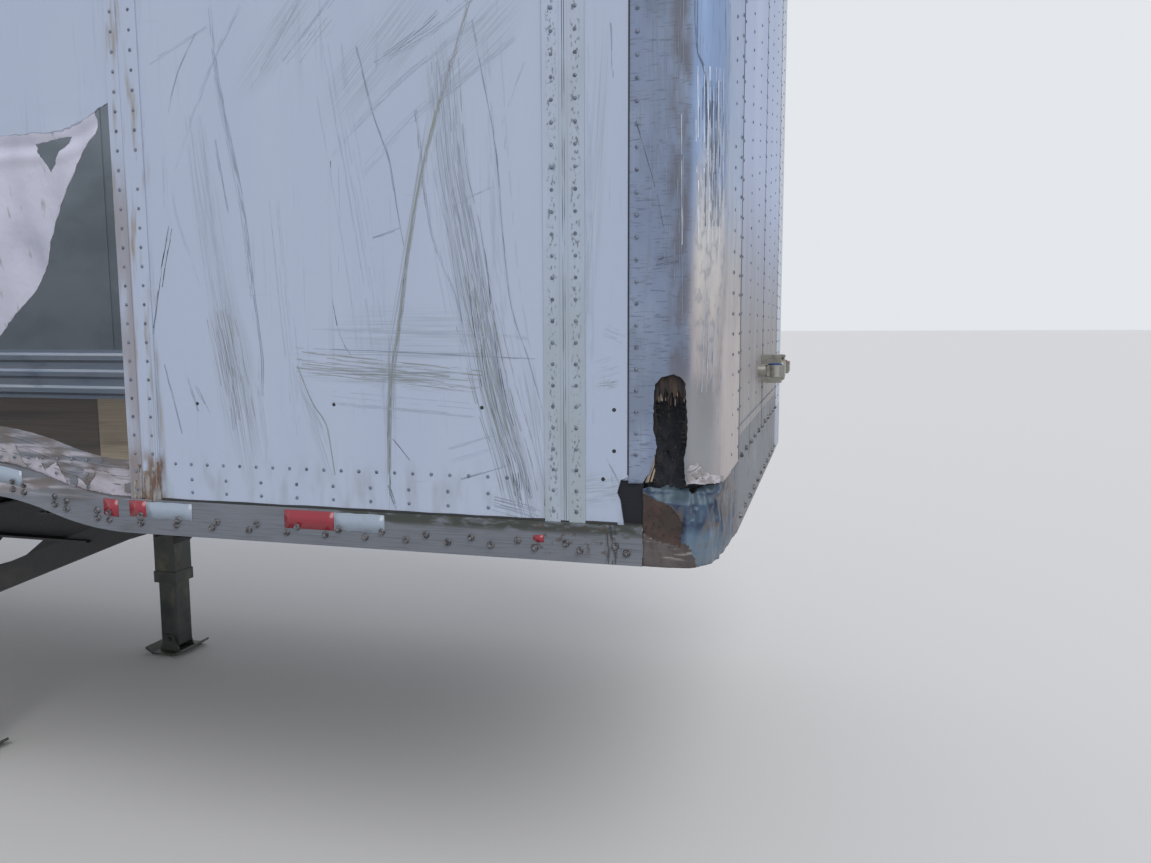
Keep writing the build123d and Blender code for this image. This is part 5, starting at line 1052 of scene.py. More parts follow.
class VANTRAILER_OT_scratches(bpy.types.Operator):
    """Scratches and gouges along the wrecked side, a painted highlight down its corner's curve, and a few light
    scratches elsewhere
    """
    bl_idname = "vantrailer.scratches"
    bl_label = "Scratches"

    def execute(self, context):
        finishes = ["scratch_" + tone for tone in TONES]
        form = Form()
        for order, mark in enumerate(SCRATCHES):
            scratch(form, -1, mark, order)
        form.piece("wreck_scratches", finishes, slot="white_plate", closed=False)
        form = Form()
        draw = random.Random(5)
        for side in SIDES.values():
            for order in range(34):
                run = draw.uniform(400, 15800) if side > 0 else draw.uniform(3000, 15800)
                height, length = draw.uniform(180, 2400), draw.uniform(80, 900)
                lean = draw.gauss(0, 0.10) if draw.random() < 0.7 else draw.gauss(0, 1.0)
                end = (min(run + length * math.cos(lean), 15900),
                       max(height + length * math.sin(lean) * 0.5, 150))
                bend = ((run + end[0]) / 2, (height + end[1]) / 2 + draw.uniform(-20, 20))
                mark = (draw.choice(("faint", "faint", "grey")), draw.uniform(3, 20), draw.randint(2, 6),
                        (run, height), bend, end)
                scratch(form, side, mark, 200 + order)
        form.piece("road_scratches", finishes, slot="white_plate", closed=False)
        return {"FINISHED"}


# The wrecked corner

def inside(point, outline):
    """Whether a point of the plane lies within an outline."""
    x, y = point
    crossed = False
    for (x0, y0), (x1, y1) in zip(outline, outline[1:] + outline[:1]):
        if (y0 > y) != (y1 > y) and x < (x1 - x0) * (y - y0) / (y1 - y0) + x0:
            crossed = not crossed
    return crossed


def within(point, a, b, reach):
    """Whether a point lies within reach of the box round the line from a to b."""
    return all(min(a[i], b[i]) - reach < point[i] < max(a[i], b[i]) + reach for i in (0, 1))


def cut_sheet(flat, outline, keep=False, reach=14):
    """Cuts a sheet that is still flat along an outline, its run along X and its height along Y, and takes
    away what lies inside, or with keep what lies outside."""
    sides = list(zip(outline, outline[1:] + outline[:1]))
    near = set()
    for face in flat.faces:
        centre = face.calc_center_median()
        if any(within(centre, a, b, reach) for a, b in sides):
            near.add(face)
    for a, b in sides:
        faces = [f for f in near if f.is_valid and within(f.calc_center_median(), a, b, reach)]
        parts = set(faces) | {e for f in faces for e in f.edges} | {v for f in faces for v in f.verts}
        normal = Vector((b[1] - a[1], a[0] - b[0], 0)).normalized()
        cut = bmesh.ops.bisect_plane(flat, geom=list(parts), plane_co=(*a, 0), plane_no=normal, dist=0.01)
        near |= {g for g in cut["geom"] if isinstance(g, bmesh.types.BMFace)}
    gone = [f for f in flat.faces if inside(f.calc_center_median()[:2], outline) != keep]
    bmesh.ops.delete(flat, geom=gone, context="FACES")


def flat_sheet(runs, heights):
    """A flat grid in mm, to be cut and then bent."""
    form = Form()
    form.grid([[Vector((run, height, 0)) for run in runs] for height in heights])
    bmesh.ops.remove_doubles(form.mesh, verts=form.mesh.verts, dist=0.01)
    return form


def ragged(outline, step, amount, seed):
    """An outline with points every step along it, each moved a little."""
    draw = random.Random(seed)
    points = []
    for a, b in zip(outline, outline[1:] + outline[:1]):
        length = math.hypot(b[0] - a[0], b[1] - a[1])
        count = max(int(length / step), 1)
        for i in range(count):
            t = i / count
            shift = amount if i else amount * 0.3
            points.append((a[0] + (b[0] - a[0]) * t + draw.uniform(-shift, shift),
                           a[1] + (b[1] - a[1]) * t + draw.uniform(-shift, shift)))
    return points


def spread(low, high, step):
    count = max(round((high - low) / step), 1)
    return [low + (high - low) * i / count for i in range(count + 1)]


def between(table, value):
    """The value of a table of rising (place, value) pairs at a place."""
    for (a, x), (b, y) in zip(table, table[1:]):
        if value <= b:
            return x + (y - x) * max(value - a, 0.0) / (b - a)
    return table[-1][1]


def hump(value, middle, half):
    """A smooth hump that is 1 in its middle and 0 at half to each side."""
    away = min(abs(value - middle) / half, 1.0)
    return (1 - away * away) ** 2


# The hole in the corner's skin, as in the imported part: run round the corner, height over the rail's foot
HOLE = [
    (84, 440), (92, 452), (112, 462), (128, 458), (140, 455), (156, 438), (159, 390), (160, 330), (154, 312),
    (150, 290), (160, 252), (168, 225), (182, 207), (196, 190), (80, 190), (84, 215), (86, 262), (80, 296),
    (78, 330), (79, 360), (82, 392),
]


def skin_depth(run, height):
    """How far the wrecked corner's skin is pushed in: a hollow beside the hole, and small dents all over."""
    near = Vector((run / 90, height / 150, 0.3))
    dents = 2.6 * (noise.noise(near) + 0.5 * noise.noise(near * 2.3))
    fade = 1.0 if height < 900 else max(1 - (height - 900) / 700, 0.15)
    hollow = 17 * hump(run, 22, 62) * hump(height, 330, 150) + 7 * hump(run, -20, 50) * hump(height, 470, 160)
    ridge = -3.0 * hump(run, -30, 26) * hump(height, 360, 260)
    lip = 9 * hump(run, 60, 60) * hump(height, 196, 60) + 5 * hump(run, 165, 40) * hump(height, 210, 70)
    joint = min(1.0, max(0.0, (219 - run) / 20)) * min(1.0, max(0.0, (run + 390) / 40))
    return (max(dents * fade, -3.2) + hollow + ridge + lip + 0.4) * joint + 0.1


# Outlines in the same plane: what is bent away at the skin's foot, and the crumpled foot with its crack
SKIN_FOOT = [(78, 204), (62, 206), (30, 203), (-8, 204), (-44, 202), (-46, 190), (78, 190)]
CRUMPLED_FOOT = [
    (79, 203), (79, 238), (70, 250), (52, 254), (40, 240), (20, 226), (-10, 221), (-40, 215), (-57, 203),
]
CRACK = [(80, 229), (68, 231), (56, 238), (46, 247), (44, 251), (54, 243), (66, 236), (80, 234)]


class VANTRAILER_OT_wrecked_skin(bpy.types.Operator):
    """The wrecked corner's skin: dented, with a torn hole"""
    bl_idname = "vantrailer.wrecked_skin"
    bl_label = "Wrecked Corner Skin"

    def execute(self, context):
        runs = [-395.5] + spread(-380, -60, 20) + spread(-54, 216, 6) + [219.5]
        heights = spread(200.5, 620, 7) + spread(634, 1500, 16) + spread(1560, (WALL_TOP - FOOT) / MM, 90)
        form = flat_sheet(runs, heights)
        cut_sheet(form.mesh, ragged(HOLE, 7, 1.6, 3))
        cut_sheet(form.mesh, ragged(SKIN_FOOT, 8, 1.2, 8))
        form.bend(lambda run, height: wreck_point(run, height, -skin_depth(run, height)))
        form.piece("wrecked_corner_skin", ["corner"], slot="corner_metal", replaces=["corner_skin_right"],
                   sharp=60, wall=0.002)

        # the foot beside the hole, crumpled, with a crack across it
        def crumple(run, height):
            near = Vector((run / 11, height / 11, 6.0))
            lift = 1.8 * noise.noise(near) + 0.9 * noise.noise(near * 2.2) + 0.9
            return wreck_point(run, height, lift - skin_depth(run, height))

        form = flat_sheet(spread(-60, 80, 2.4), spread(202, 262, 2.4))
        cut_sheet(form.mesh, ragged(CRUMPLED_FOOT, 6, 2.0, 9), keep=True)
        cut_sheet(form.mesh, ragged(CRACK, 5, 0.7, 10))
        form.bend(crumple)
        form.piece("crumpled_foot", ["crumpled"], slot="corner_metal", sharp=40, wall=0.0012)
        return {"FINISHED"}


# The crushed casting's dents: run round the corner, then depth inward at each height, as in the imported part
CRUSH_HEIGHTS = (0, 34, 72, 110, 150, 178, 197)
CRUSH = [
    (183.7, (0, 0, 0, 0, 0, 0, 0)), (166, (0, 1, 10, 12, 10, 16, 24)), (140, (0, 2, 13, 14, 13, 26, 40)),
    (112, (2, 3, 13, 14, 14, 32, 50)), (92, (4, 3, 9, 14, 10, 32, 50)), (76, (8, 2, 1, 4, 10, 26, 42)),
    (60, (14, 8, 6, 10, 18, 30, 44)), (44, (20, 14, 4, 2, 8, 22, 38)), (28, (25, 20, 10, 4, 3, 14, 32)),
    (14, (26, 20, 6, 8, 12, 20, 28)), (0, (27, 22, 14, 14, 8, 16, 26)), (-14, (28, 22, 16, 14, 20, 14, 24)),
    (-30, (26, 24, 20, 6, 12, 18, 18)), (-46, (24, 16, 10, 14, 18, 10, 14)),
    (-66, (22, 18, 20, 20, 12, 12, 10)), (-90, (18, 12, 8, 8, 10, 8, 8)), (-120, (16, 16, 18, 16, 10, 6, 6)),
    (-160, (12, 6, 4, 4, 6, 4, 3)), (-200, (10, 12, 14, 10, 4, 2, 2)), (-250, (8, 4, 2, 2, 3, 1, 1)),
    (-300, (6, 7, 8, 5, 1, 1, 0)), (-350, (3, 2, 1, 1, 0, 0, 0)), (-395.8, (0, 0, 0, 0, 0, 0, 0)),
]


def eased(t):
    return t * t * (3 - 2 * t)


def crush_depth(run, height):
    """Depth of the crushed plate, eased between the table's places."""
    column = next(i for i in range(len(CRUSH) - 1) if run >= CRUSH[i + 1][0] - 0.01)
    row = next(i for i in range(len(CRUSH_HEIGHTS) - 1) if height <= CRUSH_HEIGHTS[i + 1] + 0.01)
    (a, near), (b, far) = CRUSH[column], CRUSH[column + 1]
    s = eased(min(max((a - run) / (a - b), 0), 1))
    low, high = CRUSH_HEIGHTS[row], CRUSH_HEIGHTS[row + 1]
    t = eased(min(max((height - low) / (high - low), 0), 1))
    first = near[row] * (1 - s) + far[row] * s
    second = near[row + 1] * (1 - s) + far[row + 1] * s
    return first * (1 - t) + second * t


# Where the polished skin is off and the rusty plate under it shows, and the plate's beaten top edge
RUST_PATCH = [
    (184, 178), (165, 166), (150, 158), (125, 150), (102, 128), (88, 102), (92, 74), (95, 52), (118, 54),
    (140, 60), (160, 64), (184, 80),
]
BEATEN_EDGE = [
    (186, 187), (170, 192), (150, 186), (128, 195), (100, 184), (80, 190), (62, 176), (44, 188), (30, 192),
    (14, 197), (0, 203), (186, 203),
]
CASTING_FRONT, CASTING_BACK = CRUSH[-1][0], CRUSH[0][0]


class VANTRAILER_OT_crushed_casting(bpy.types.Operator):
    """The crushed plate round the foot of the wrecked corner"""
    bl_idname = "vantrailer.crushed_casting"
    bl_label = "Crushed Casting"

    def execute(self, context):
        def crush(run, height):
            near = Vector((run / 26, height / 34, 1.7))
            wrinkle = 2.4 * noise.noise(near) + 1.1 * noise.noise(near * 2.7)
            drape = 2.2 * math.sin(run / 11.0 + height / 60) * hump(run, -90, 130)
            hold = min(1.0, (CASTING_BACK - run) / 12) * min(1.0, (run - CASTING_FRONT) / 30)
            patch = 2.5 if inside((run, height), RUST_PATCH) else 0.0
            depth = max(crush_depth(run, height) + (wrinkle + drape) * hold + patch, 0.0)
            return wreck_point(run, height, -min(depth, 58))

        form = flat_sheet(spread(CASTING_FRONT, -200, 8) + spread(-196, CASTING_BACK, 3.4), spread(0, 197, 3.6))
        cut_sheet(form.mesh, ragged(BEATEN_EDGE, 9, 2.0, 12))
        for face in form.mesh.faces:
            centre = face.calc_center_median()
            wobble = 5 * noise.noise(Vector((centre.x / 9, centre.y / 9, 4.0)))
            if inside((centre.x + wobble, centre.y + wobble), RUST_PATCH):
                face.material_index = 1
            elif (centre.x > 46 + centre.y * 0.5 + wobble
                  and centre.y < 62 + wobble + 30 * hump(centre.x, 184, 40)):
                face.material_index = 2
        form.bend(crush)
        form.piece("crushed_casting", ["casting_crushed", "rust", "dull_casting"], slot="casting_steel",
                   replaces=["corner_casting_right"], sharp=40, wall=0.005)
        return {"FINISHED"}


class VANTRAILER_OT_splinters(bpy.types.Operator):
    """Splintered plywood round the hole, dark wood behind it with the hole's shade painted into its colour, and
    a dark sheet that paints the shade of the gap at the skin's foot
    """
    bl_idname = "vantrailer.splinters"
    bl_label = "Splintered Lining"

    def execute(self, context):
        draw = random.Random(14)
        face = -(SKIN - 0.0065 - 0.005 - 0.0003)  # the rail's flange, which the lining stands against
        form = Form()

        def splinter(outline, back, depth, tone=0):
            form.prism([(face + back, NOSE + a * MM, FOOT + b * MM) for a, b in outline], (depth, 0, 0), tone)

        for i in range(60):
            run = 80 + 82 * i / 60 + draw.uniform(-1, 1)
            drop = draw.uniform(6, 34) * (1.5 if i % 7 == 0 else 1.0)
            high = 446 + draw.uniform(-6, 14)
            low = high - 26 - drop
            wide, back = draw.uniform(1.4, 4.0), draw.uniform(0.5, 9.0)
            lean = draw.uniform(-3, 3)
            tone = 1 if draw.random() < 0.2 else 0
            splinter([(run - wide / 2, high), (run + wide / 2, high), (run + lean + wide * 0.3, low + 4),
                      (run + lean, low), (run + lean - wide * 0.3, low + 5)], 0.0012 + back * MM, 0.0022, tone)
        for i in range(34):
            height = 196 + 200 * i / 34 + draw.uniform(-3, 3)
            length = draw.uniform(6, 22)
            edge, into = (162 + 14 * max(0, (240 - height) / 60), -1) if i % 2 else (80, 1)
            slope, back = draw.uniform(-5, 5), draw.uniform(0.5, 8)
            splinter([(edge, height - 2.5), (edge, height + 2.5), (edge + into * length, height + slope)],
                     0.0012 + back * MM, 0.0024)
        # pale slivers that stand in the hole's foot
        for outline in ([(180, 202), (172, 203), (158, 246), (157, 268), (161, 262), (170, 232)],
                        [(168, 204), (163, 206), (156, 232), (158, 238)]):
            splinter(outline, -0.0015, 0.003, 1)
        form.piece("lining_splinters", ["splintered", "bare_wood"], slot="plywood")

        def char(run, height):
            near = Vector((run / 13, height / 30, 0.0))
            push = 10 * noise.noise(near) + 6 * noise.noise(near * 2.6)
            push += 22 * hump(run, 120, 60) * hump(height, 330, 150)
            return -1.243 + (push - 6) * MM, NOSE + run * MM, FOOT + height * MM

        form = Form()
        form.grid([[char(run, height) for run in spread(70, 190, 6.7)] for height in spread(150, 470, 7.1)])
        form.piece("charred_core", ["charred"], slot="plywood", sharp=80, wall=0.004)

        # a dark sheet that paints the shade in the gap between the crushed plate's edge and the skin's foot
        form = flat_sheet(spread(-70, 84, 7), range(216, 152, -8))
        form.bend(lambda run, height: wreck_point(run, height, -(9 + (216 - height) * 1.45)))
        form.piece("charred_foot", ["charred"], slot="plywood", sharp=80, wall=0.004)
        return {"FINISHED"}


# The torn panel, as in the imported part: distance from its front joint, height over the rail's foot
CREASE = [(0, 1185), (60, 1175), (100, 1155), (150, 1130), (210, 1112), (420, 1110), (620, 1090), (800, 1000),
          (1000, 760), (1219, 420)]
FLAP_EDGE = [(100, 1098), (155, 1045), (200, 980), (250, 928), (290, 875), (320, 818), (343, 758), (390, 714),
             (480, 626), (565, 559), (655, 500), (805, 520), (925, 640), (1000, 755)]
FLAP_RENT = [(186, 1096), (262, 1091), (318, 1084), (296, 1048), (273, 1003), (236, 1044)]
FLAP_R = 2500.0
FLAP_TOP = 1190.0


def flap_depth(along, height):
    """How far the hanging flap stands in: its curl, its drapes and the fold near its top."""
    drop = max(FLAP_TOP - height, 0.0)
    curl = FLAP_R - math.sqrt(FLAP_R ** 2 - drop ** 2)
    edge = between(CREASE, along)
    below = min(max((edge - height) / 300, 0.0), 1.0)
    drapes = 13 * math.sin(along / 62 + height / 420) + 7 * math.sin(along / 27 - height / 300 + 1)
    small = 5 * noise.noise(Vector((along / 60, height / 130, 2.0)))
    fold = -7 * hump(height, edge - 62, 26) + 8 * hump(height, edge - 30, 26)
    return curl + below * (drapes + 12) + small * below + fold + 2


class VANTRAILER_OT_torn_plate(bpy.types.Operator):
    """The torn plate with its ragged edge, and the flap that hangs from it"""
    bl_idname = "vantrailer.torn_plate"
    bl_label = "Torn Plate"

    def execute(self, context):
        def buckle(along, height):
            near = max(0.0, 1 - (height - between(CREASE, along)) / 160)
            depth = near * (3.0 * noise.noise(Vector((along / 60, height / 60, 5.0))) + 2.0)
            return on_skin(-1, TORN_START + along * MM, height * MM, -max(depth, 0.0) * MM)

        width, top = (TORN_END - TORN_START) / MM, (WALL_TOP - FOOT) / MM
        form = flat_sheet(spread(0.3, width - 0.3, 14), spread(400, 1240, 14) + spread(1330, top, 100))
        cut_sheet(form.mesh, ragged([*CREASE, (1225, 390), (-5, 390), (-5, 1187)], 12, 2.6, 31))
        form.bend(buckle)
        form.piece("torn_plate", ["plate"], slot="white_plate", replaces=["torn_panel"], sharp=60, wall=0.0045)

        form = flat_sheet(spread(96, 1004, 9), spread(490, 1190, 9))
        up = [(along, height + 10) for along, height in CREASE if 100 <= along <= 1000]
        cut_sheet(form.mesh, ragged([*FLAP_EDGE, *up[::-1]], 14, 2.4, 33), keep=True)
        cut_sheet(form.mesh, ragged(FLAP_RENT, 10, 2.0, 35))
        form.bend(lambda along, height: on_skin(-1, TORN_START + along * MM, height * MM,
                                                -flap_depth(along, height) * MM))
        form.piece("hanging_flap", ["liner_skin"], slot="white_plate", sharp=60, wall=0.003)
        return {"FINISHED"}


class VANTRAILER_OT_bared_flange(bpy.types.Operator):
    """What the torn plate left on the rail's flange, the flange's ribs, and a plank loose on the floor"""
    bl_idname = "vantrailer.bared_flange"
    bl_label = "Bared Flange"

    def execute(self, context):
        def peel(run, height):
            near = Vector((run / 30, height / 18, 8.0))
            lift = -4.6 + 2.2 * noise.noise(near) + max(height - 125, 0) * 0.035 * (1 + noise.noise(near * 0.6))
            return bowed(run, height, lift)

        start, end = TORN_START / MM + 56, TORN_END / MM - 56
        form = flat_sheet(spread(start, end, 6), spread(100, 190, 5))
        draw = random.Random(41)
        edge, run = [], start
        while run < end:
            edge.append((run, draw.choice((108, 118, 131, 150, 168)) + draw.uniform(-5, 5)))
            run += draw.uniform(14, 46)
        cut_sheet(form.mesh, ragged([*edge, (end, 106), (end, 102), (start, 102)], 9, 1.6, 42), keep=True)
        form.bend(peel)
        form.piece("plate_remnants", ["remnant"], slot="white_plate", sharp=50, wall=0.0012)

        form = Form()
        for order, height in enumerate((134, 161, 184)):
            path = []
            for run in spread(start + 6, end - 6, 24):
                shake = 2.2 * noise.noise(Vector((run / 70, order * 4.0, 3.0)))
                path.append(bowed(run, height + shake, -6.6))
            form.tube(path, 0.0026, 8)
        for run, height, size in ((1660, 128, 15), (1790, 150, 20), (1845, 118, 16)):
            middle = bowed(run, height, -6.0)
            outline = [middle + Vector((0, math.cos(a) * size * r * MM, math.sin(a) * size * r * MM * 1.2))
                       for a, r in ((i * math.pi / 4.5, draw.uniform(0.55, 1.1)) for i in range(9))]
            form.prism(outline, (-0.0045, 0, 0))
        form.piece("flange_ribs", ["wrecked_rail"], slot="rail_aluminium", sharp=40)

        form = Form()
        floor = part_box("floor_boards")[1].z
        plank = [(-1.14, 1.884), (1.25, 4.114), (1.25, 3.774), (-1.14, 1.600)]
        form.prism([(x, NOSE + y, floor + 0.0005) for x, y in plank], (0, 0, 0.006))
        form.piece("loose_plank", ["bare_plank"], slot="plywood", bevel=0.001)
        return {"FINISHED"}


class VANTRAILER_OT_seams(bpy.types.Operator):
    """Black sealant along the plates' feet and joints, and drilled holes"""
    bl_idname = "vantrailer.seams"
    bl_label = "Seams"

    def execute(self, context):
        top = WALL_TOP - FOOT
        form = Form()
        for side in SIDES.values():
            spans = [(0.262, RAIL_END)]
            if side < 0:
                spans = [(0.245, TORN_START + 0.05), (TORN_END - 0.05, RAIL_END)]
            for start, end in spans:
                draw = random.Random(int(start * 100))
                count = max(int((end - start) / 0.06), 2)
                rows = [[], [], [], []]
                for i in range(count + 1):
                    run = start + (end - start) * i / count
                    thick = 0.0052 + draw.uniform(-0.0008, 0.0012)
                    bead = ((0, 0.0001), (0, 0.0028), (thick * 0.7, 0.0022), (thick, 0.0001))
                    for row, (up, lift) in zip(rows, bead):
                        row.append(on_skin(side, run, SEALANT_FOOT + up, lift))
                form.grid(rows if side < 0 else rows[::-1])
            foot = 0.22 if side < 0 else 0.105
            form.box(*ordered(on_skin(side, 0.2185, foot, 0.0), on_skin(side, 0.2215, top, 0.0008)))
        for x in (-0.86, 0.0, 0.86):
            form.box((x - 0.002, NOSE - 0.0008, FOOT + 0.205), (x + 0.002, NOSE + 0.0005, FOOT + top))
        form.piece("seam_sealant", ["gasket"], slot="tyre_rubber", sharp=50)

        form = Form()
        for run, height in ((1000, 375), (590, 375), (1415, 370), (254, 376), (254, 277), (281, 208)):
            form.lathe([(0.0001, 0.0009), (0.0034, 0.0009), (0.0046, 0.0006), (0.0052, 0.0)],
                       wreck_point(run, height, -0.2), (-1, 0, 0), 14)
        form.piece("drilled_holes", ["gasket"], slot="tyre_rubber", closed=False)
        return {"FINISHED"}


def ordered(a, b):
    """The lowest and highest corners of the box between two points."""
    return tuple(map(min, a, b)), tuple(map(max, a, b))


# Strips that curl off the wall: run, width, top and foot over the rail's foot, how far they bend out, in mm
CURLED_STRIPS = ((1548, 13, 205, 96, 2.6), (1566, 17, 190, 92, 3.4), (1590, 20, 178, 90, 2.2),
                 (1612, 12, 196, 99, 3.6), (1630, 15, 150, 94, 2.4))


class VANTRAILER_OT_splice_foot(bpy.types.Operator):
    """The foot of the splice beside the torn panel, burst open and rusty"""
    bl_idname = "vantrailer.splice_foot"
    bl_label = "Splice Foot"

    def execute(self, context):
        form = Form()
        for run, width, top, foot, bend in CURLED_STRIPS:
            rows = []
            for i in range(13):
                down = i / 12
                lift = 3.1 + bend * down ** 2 * 0.55 + 0.4 * math.sin(i * 1.7 + run)
                half = width / 2 * (1 - 0.25 * down) + 0.9 * math.sin(i * 2.3 + run)
                middle = run + 4 * down * math.sin(run)
                rows.append([wreck_point(middle + k * half, top + (foot - top) * down, lift + 0.8 * (1 - k * k))
                             for k in (-1, -0.4, 0.4, 1)])
            form.grid(rows)
        form.piece("splice_foot", ["rusty_strip"], slot="white_plate", sharp=60, wall=0.0012)
        return {"FINISHED"}


# Running gear

# Half section of a tyre from its middle to its bead: distance from the middle, radius, depth of a cross groove
TYRE_SECTION = [
    (0, 505, 0), (16.5, 505, 0), (18, 493, 0), (28, 493, 0), (29.5, 505, 3), (61.5, 505, 3), (63, 493, 0),
    (73, 493, 0), (74.5, 505, 9), (104, 504, 9), (112, 501, 9), (120, 488, 9), (127, 473, 5), (129.5, 466, 0),
    (131, 460, 0), (136, 440, 0), (137.5, 424, 0), (139, 420, 0), (139, 410, 0), (137.5, 406, 0), (136, 378, 0),
    (131, 345, 0), (124, 326, 0), (122, 318, 0), (112, 309, 0), (100, 307.5, 0), (100, 287, 0),
]
TYRE_STEPS = 168
TYRE_MIDDLES = (0.8115, 1.1475)
DISC_FACE = 0.9925
HUB_STEP = 1.0495
CAP_FACE = 1.1295


def twin_wheels():
    """Each twin wheel: its name, side, and the height and run of its axle."""
    for number in (1, 2):
        for place, side in SIDES.items():
            low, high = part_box(f"tyres_{number}_{place}")
            yield f"{number}_{place}", side, (low.y + high.y) / 2, (low.z + high.z) / 2


def round_axle(side, out, radius, angle, y, z):
    return Vector((side * out, y + radius * math.cos(angle), z + radius * math.sin(angle)))


class VANTRAILER_OT_tyres(bpy.types.Operator):
    """Tyres with grooves, tread blocks and sidewall rings"""
    bl_idname = "vantrailer.tyres"
    bl_label = "Tyres"

    def execute(self, context):
        section = [(-across, radius, cut) for across, radius, cut in TYRE_SECTION[:0:-1]] + TYRE_SECTION
        for name, side, y, z in twin_wheels():
            form = Form()
            for middle in TYRE_MIDDLES:
                rows = []
                for across, radius, cut in section:
                    offset = 2 if cut == 3 else 0
                    rows.append([round_axle(side, middle + across * MM,
                                            (radius - (cut if (k + offset) % 4 == 0 else 0)) * MM,
                                            2 * math.pi * k / TYRE_STEPS, y, z) for k in range(TYRE_STEPS)])
                form.grid(rows + rows[:1], loop=True)
            form.piece(f"tyre_pair_{name}", ["rubber"], f"twin_wheel_{name}", "tyre_rubber", [f"tyres_{name}"],
                       sharp=32)
        return {"FINISHED"}


# Rings of fasteners on a wheel: kind, how many, radius of the ring, its face's distance out, scale
WHEEL_RINGS = (("nut", 10, 0.1429, DISC_FACE, 1.0), ("bolt", 8, 0.097, HUB_STEP, 0.7))


class VANTRAILER_OT_wheel_fittings(bpy.types.Operator):
    """Nuts, hub bolts, sight glasses and valve stems of the twin wheels"""
    bl_idname = "vantrailer.wheel_fittings"
    bl_label = "Wheel Fittings"

    def execute(self, context):
        for name, side, y, z in twin_wheels():
            body, out = f"twin_wheel_{name}", (side, 0, 0)
            for kind, count, radius, at, scale in WHEEL_RINGS:
                ring = [round_axle(side, at, radius, 2 * math.pi * k / count, y, z) for k in range(count)]
                pitch = 2 * radius * math.sin(math.pi / count) * 0.9999
                fasten(f"wheel_{kind}s_{name}", [(ring, None, out)], kind, pitch, "zinc", body, scale=scale,
                       turn=0.6)
            form = Form()
            cap = (side * CAP_FACE, y, z)
            form.lathe([(0.062, -0.001), (0.062, 0.003), (0.056, 0.005), (0.034, 0.004), (0.034, 0.009),
                        (0.027, 0.010), (0.026, 0.006)], cap, out, 32)
            form.lathe([(0.026, 0.006), (0.012, 0.0075), (0.0004, 0.008)], cap, out, 32, tone=1)
            for k in range(6):
                screw = round_axle(side, CAP_FACE, 0.046, 2 * math.pi * k / 6, y, z)
                form.lathe([(0.006, 0.003), (0.006, 0.008), (0.0004, 0.009)], screw, out, 6)
            root = round_axle(side, DISC_FACE - 0.03, 0.262, 1.2, y, z)
            stem = smooth_path([root + Vector(step) for step in (
                (0, 0, 0), (side * 0.05, 0, 0), (side * 0.085, -0.004, -0.016))], 0.01)
            form.tube(stem, 0.0042, 8)
            form.tube([stem[-1], stem[-1] + Vector((side * 0.016, -0.001, -0.006))], 0.0062, 8, tone=2)
            form.piece(f"hub_fittings_{name}", ["zinc", "amber_lens", "gasket"], body, "hardware_zinc",
                       sharp=30)
        return {"FINISHED"}


def lone(x, y, z, outward):
    """A row too short for more than one head."""
    return (x, y, z), (x, y + MM, z) if outward[2] else (x, y, z + MM), outward


GEARBOX_X, GEARBOX_Z = 0.640, 0.960
GEARBOX_COVER = (
    (-0.04, -0.052), (0.04, -0.052), (0.04, 0.04), (0.026, 0.056), (-0.026, 0.056), (-0.04, 0.04),
)


class VANTRAILER_OT_leg_fittings(bpy.types.Operator):
    """Bolts, gearbox covers and crank grip of the landing gear"""
    bl_idname = "vantrailer.leg_fittings"
    bl_label = "Leg Fittings"

    def execute(self, context):
        legs_low, legs_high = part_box("landing_legs")
        leg_y, top = (legs_low.y + legs_high.y) / 2, legs_high.z - 0.010
        crank_low, crank_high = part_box("landing_crank")
        face = crank_high.y
        legs, gearboxes = [], []
        for side in SIDES.values():
            legs += [lone(side * x, leg_y + off, top, (0, 0, -1))
                     for off in (-0.075, 0.075) for x in (0.505, 0.775)]
            legs += [lone(side * 0.7035, leg_y + off, z, (side, 0, 0))
                     for z in (0.62, 0.74, 0.90, 1.02) for off in (-0.035, 0.035)]
            gearboxes += [lone(side * GEARBOX_X + x, face, z, BACK)
                          for x in (-0.042, 0.042) for z in (0.905, 1.015)]
        fasten("leg_bolts", legs, "bolt", 0.01, "zinc", seed=14)
        fasten("gearbox_bolts", gearboxes, "bolt", 0.01, "zinc", seed=15, scale=0.6)

        # raised cover of each gearbox, with the shaft's boss
        form = Form()
        for side in SIDES.values():
            form.prism([(side * GEARBOX_X + x, face, GEARBOX_Z + z) for x, z in GEARBOX_COVER], (0, 0.006, 0))
            form.lathe([(0.024, 0.0), (0.024, 0.010), (0.018, 0.014), (0.0005, 0.014)],
                       (side * GEARBOX_X, face + 0.005, GEARBOX_Z), BACK, 20)
        grip = [(0.0165, -0.095), (0.021, -0.092)]
        for i in range(8):
            grip += [(radius, along + i * 0.011) for radius, along in (
                (0.021, -0.090), (0.0195, -0.088), (0.0195, -0.082), (0.021, -0.080))]
        grip += [(0.021, -0.001), (0.017, 0.002), (0.0005, 0.003)]
        end = (crank_high.x, (crank_low.y + crank_high.y) / 2, crank_low.z + 0.036)
        form.lathe(grip, end, (1, 0, 0), 20, tone=1)
        form.piece("leg_fittings", ["leg", "gasket"], slot="dark_steel", sharp=30)
        return {"FINISHED"}


# Rear and nose fittings

def frame_bars(form, low, high, inset, width, proud, tone):
    """Four bars round the edge of a door's rear face."""
    x0, x1, z0, z1 = low.x + inset, high.x - inset, low.z + inset, high.z - inset
    y = TAIL - 0.0005
    for a, b in (((x0, z0), (x1, z0 + width)), ((x0, z1 - width), (x1, z1)),
                 ((x0, z0 + width), (x0 + width, z1 - width)), ((x1 - width, z0 + width), (x1, z1 - width))):
        form.box((a[0], y, a[1]), (b[0], y + proud, b[1]), tone)


def rear_row(start, end, low, high, lift=0.0):
    return (start, TAIL + lift, low), (end, TAIL + lift, high), BACK


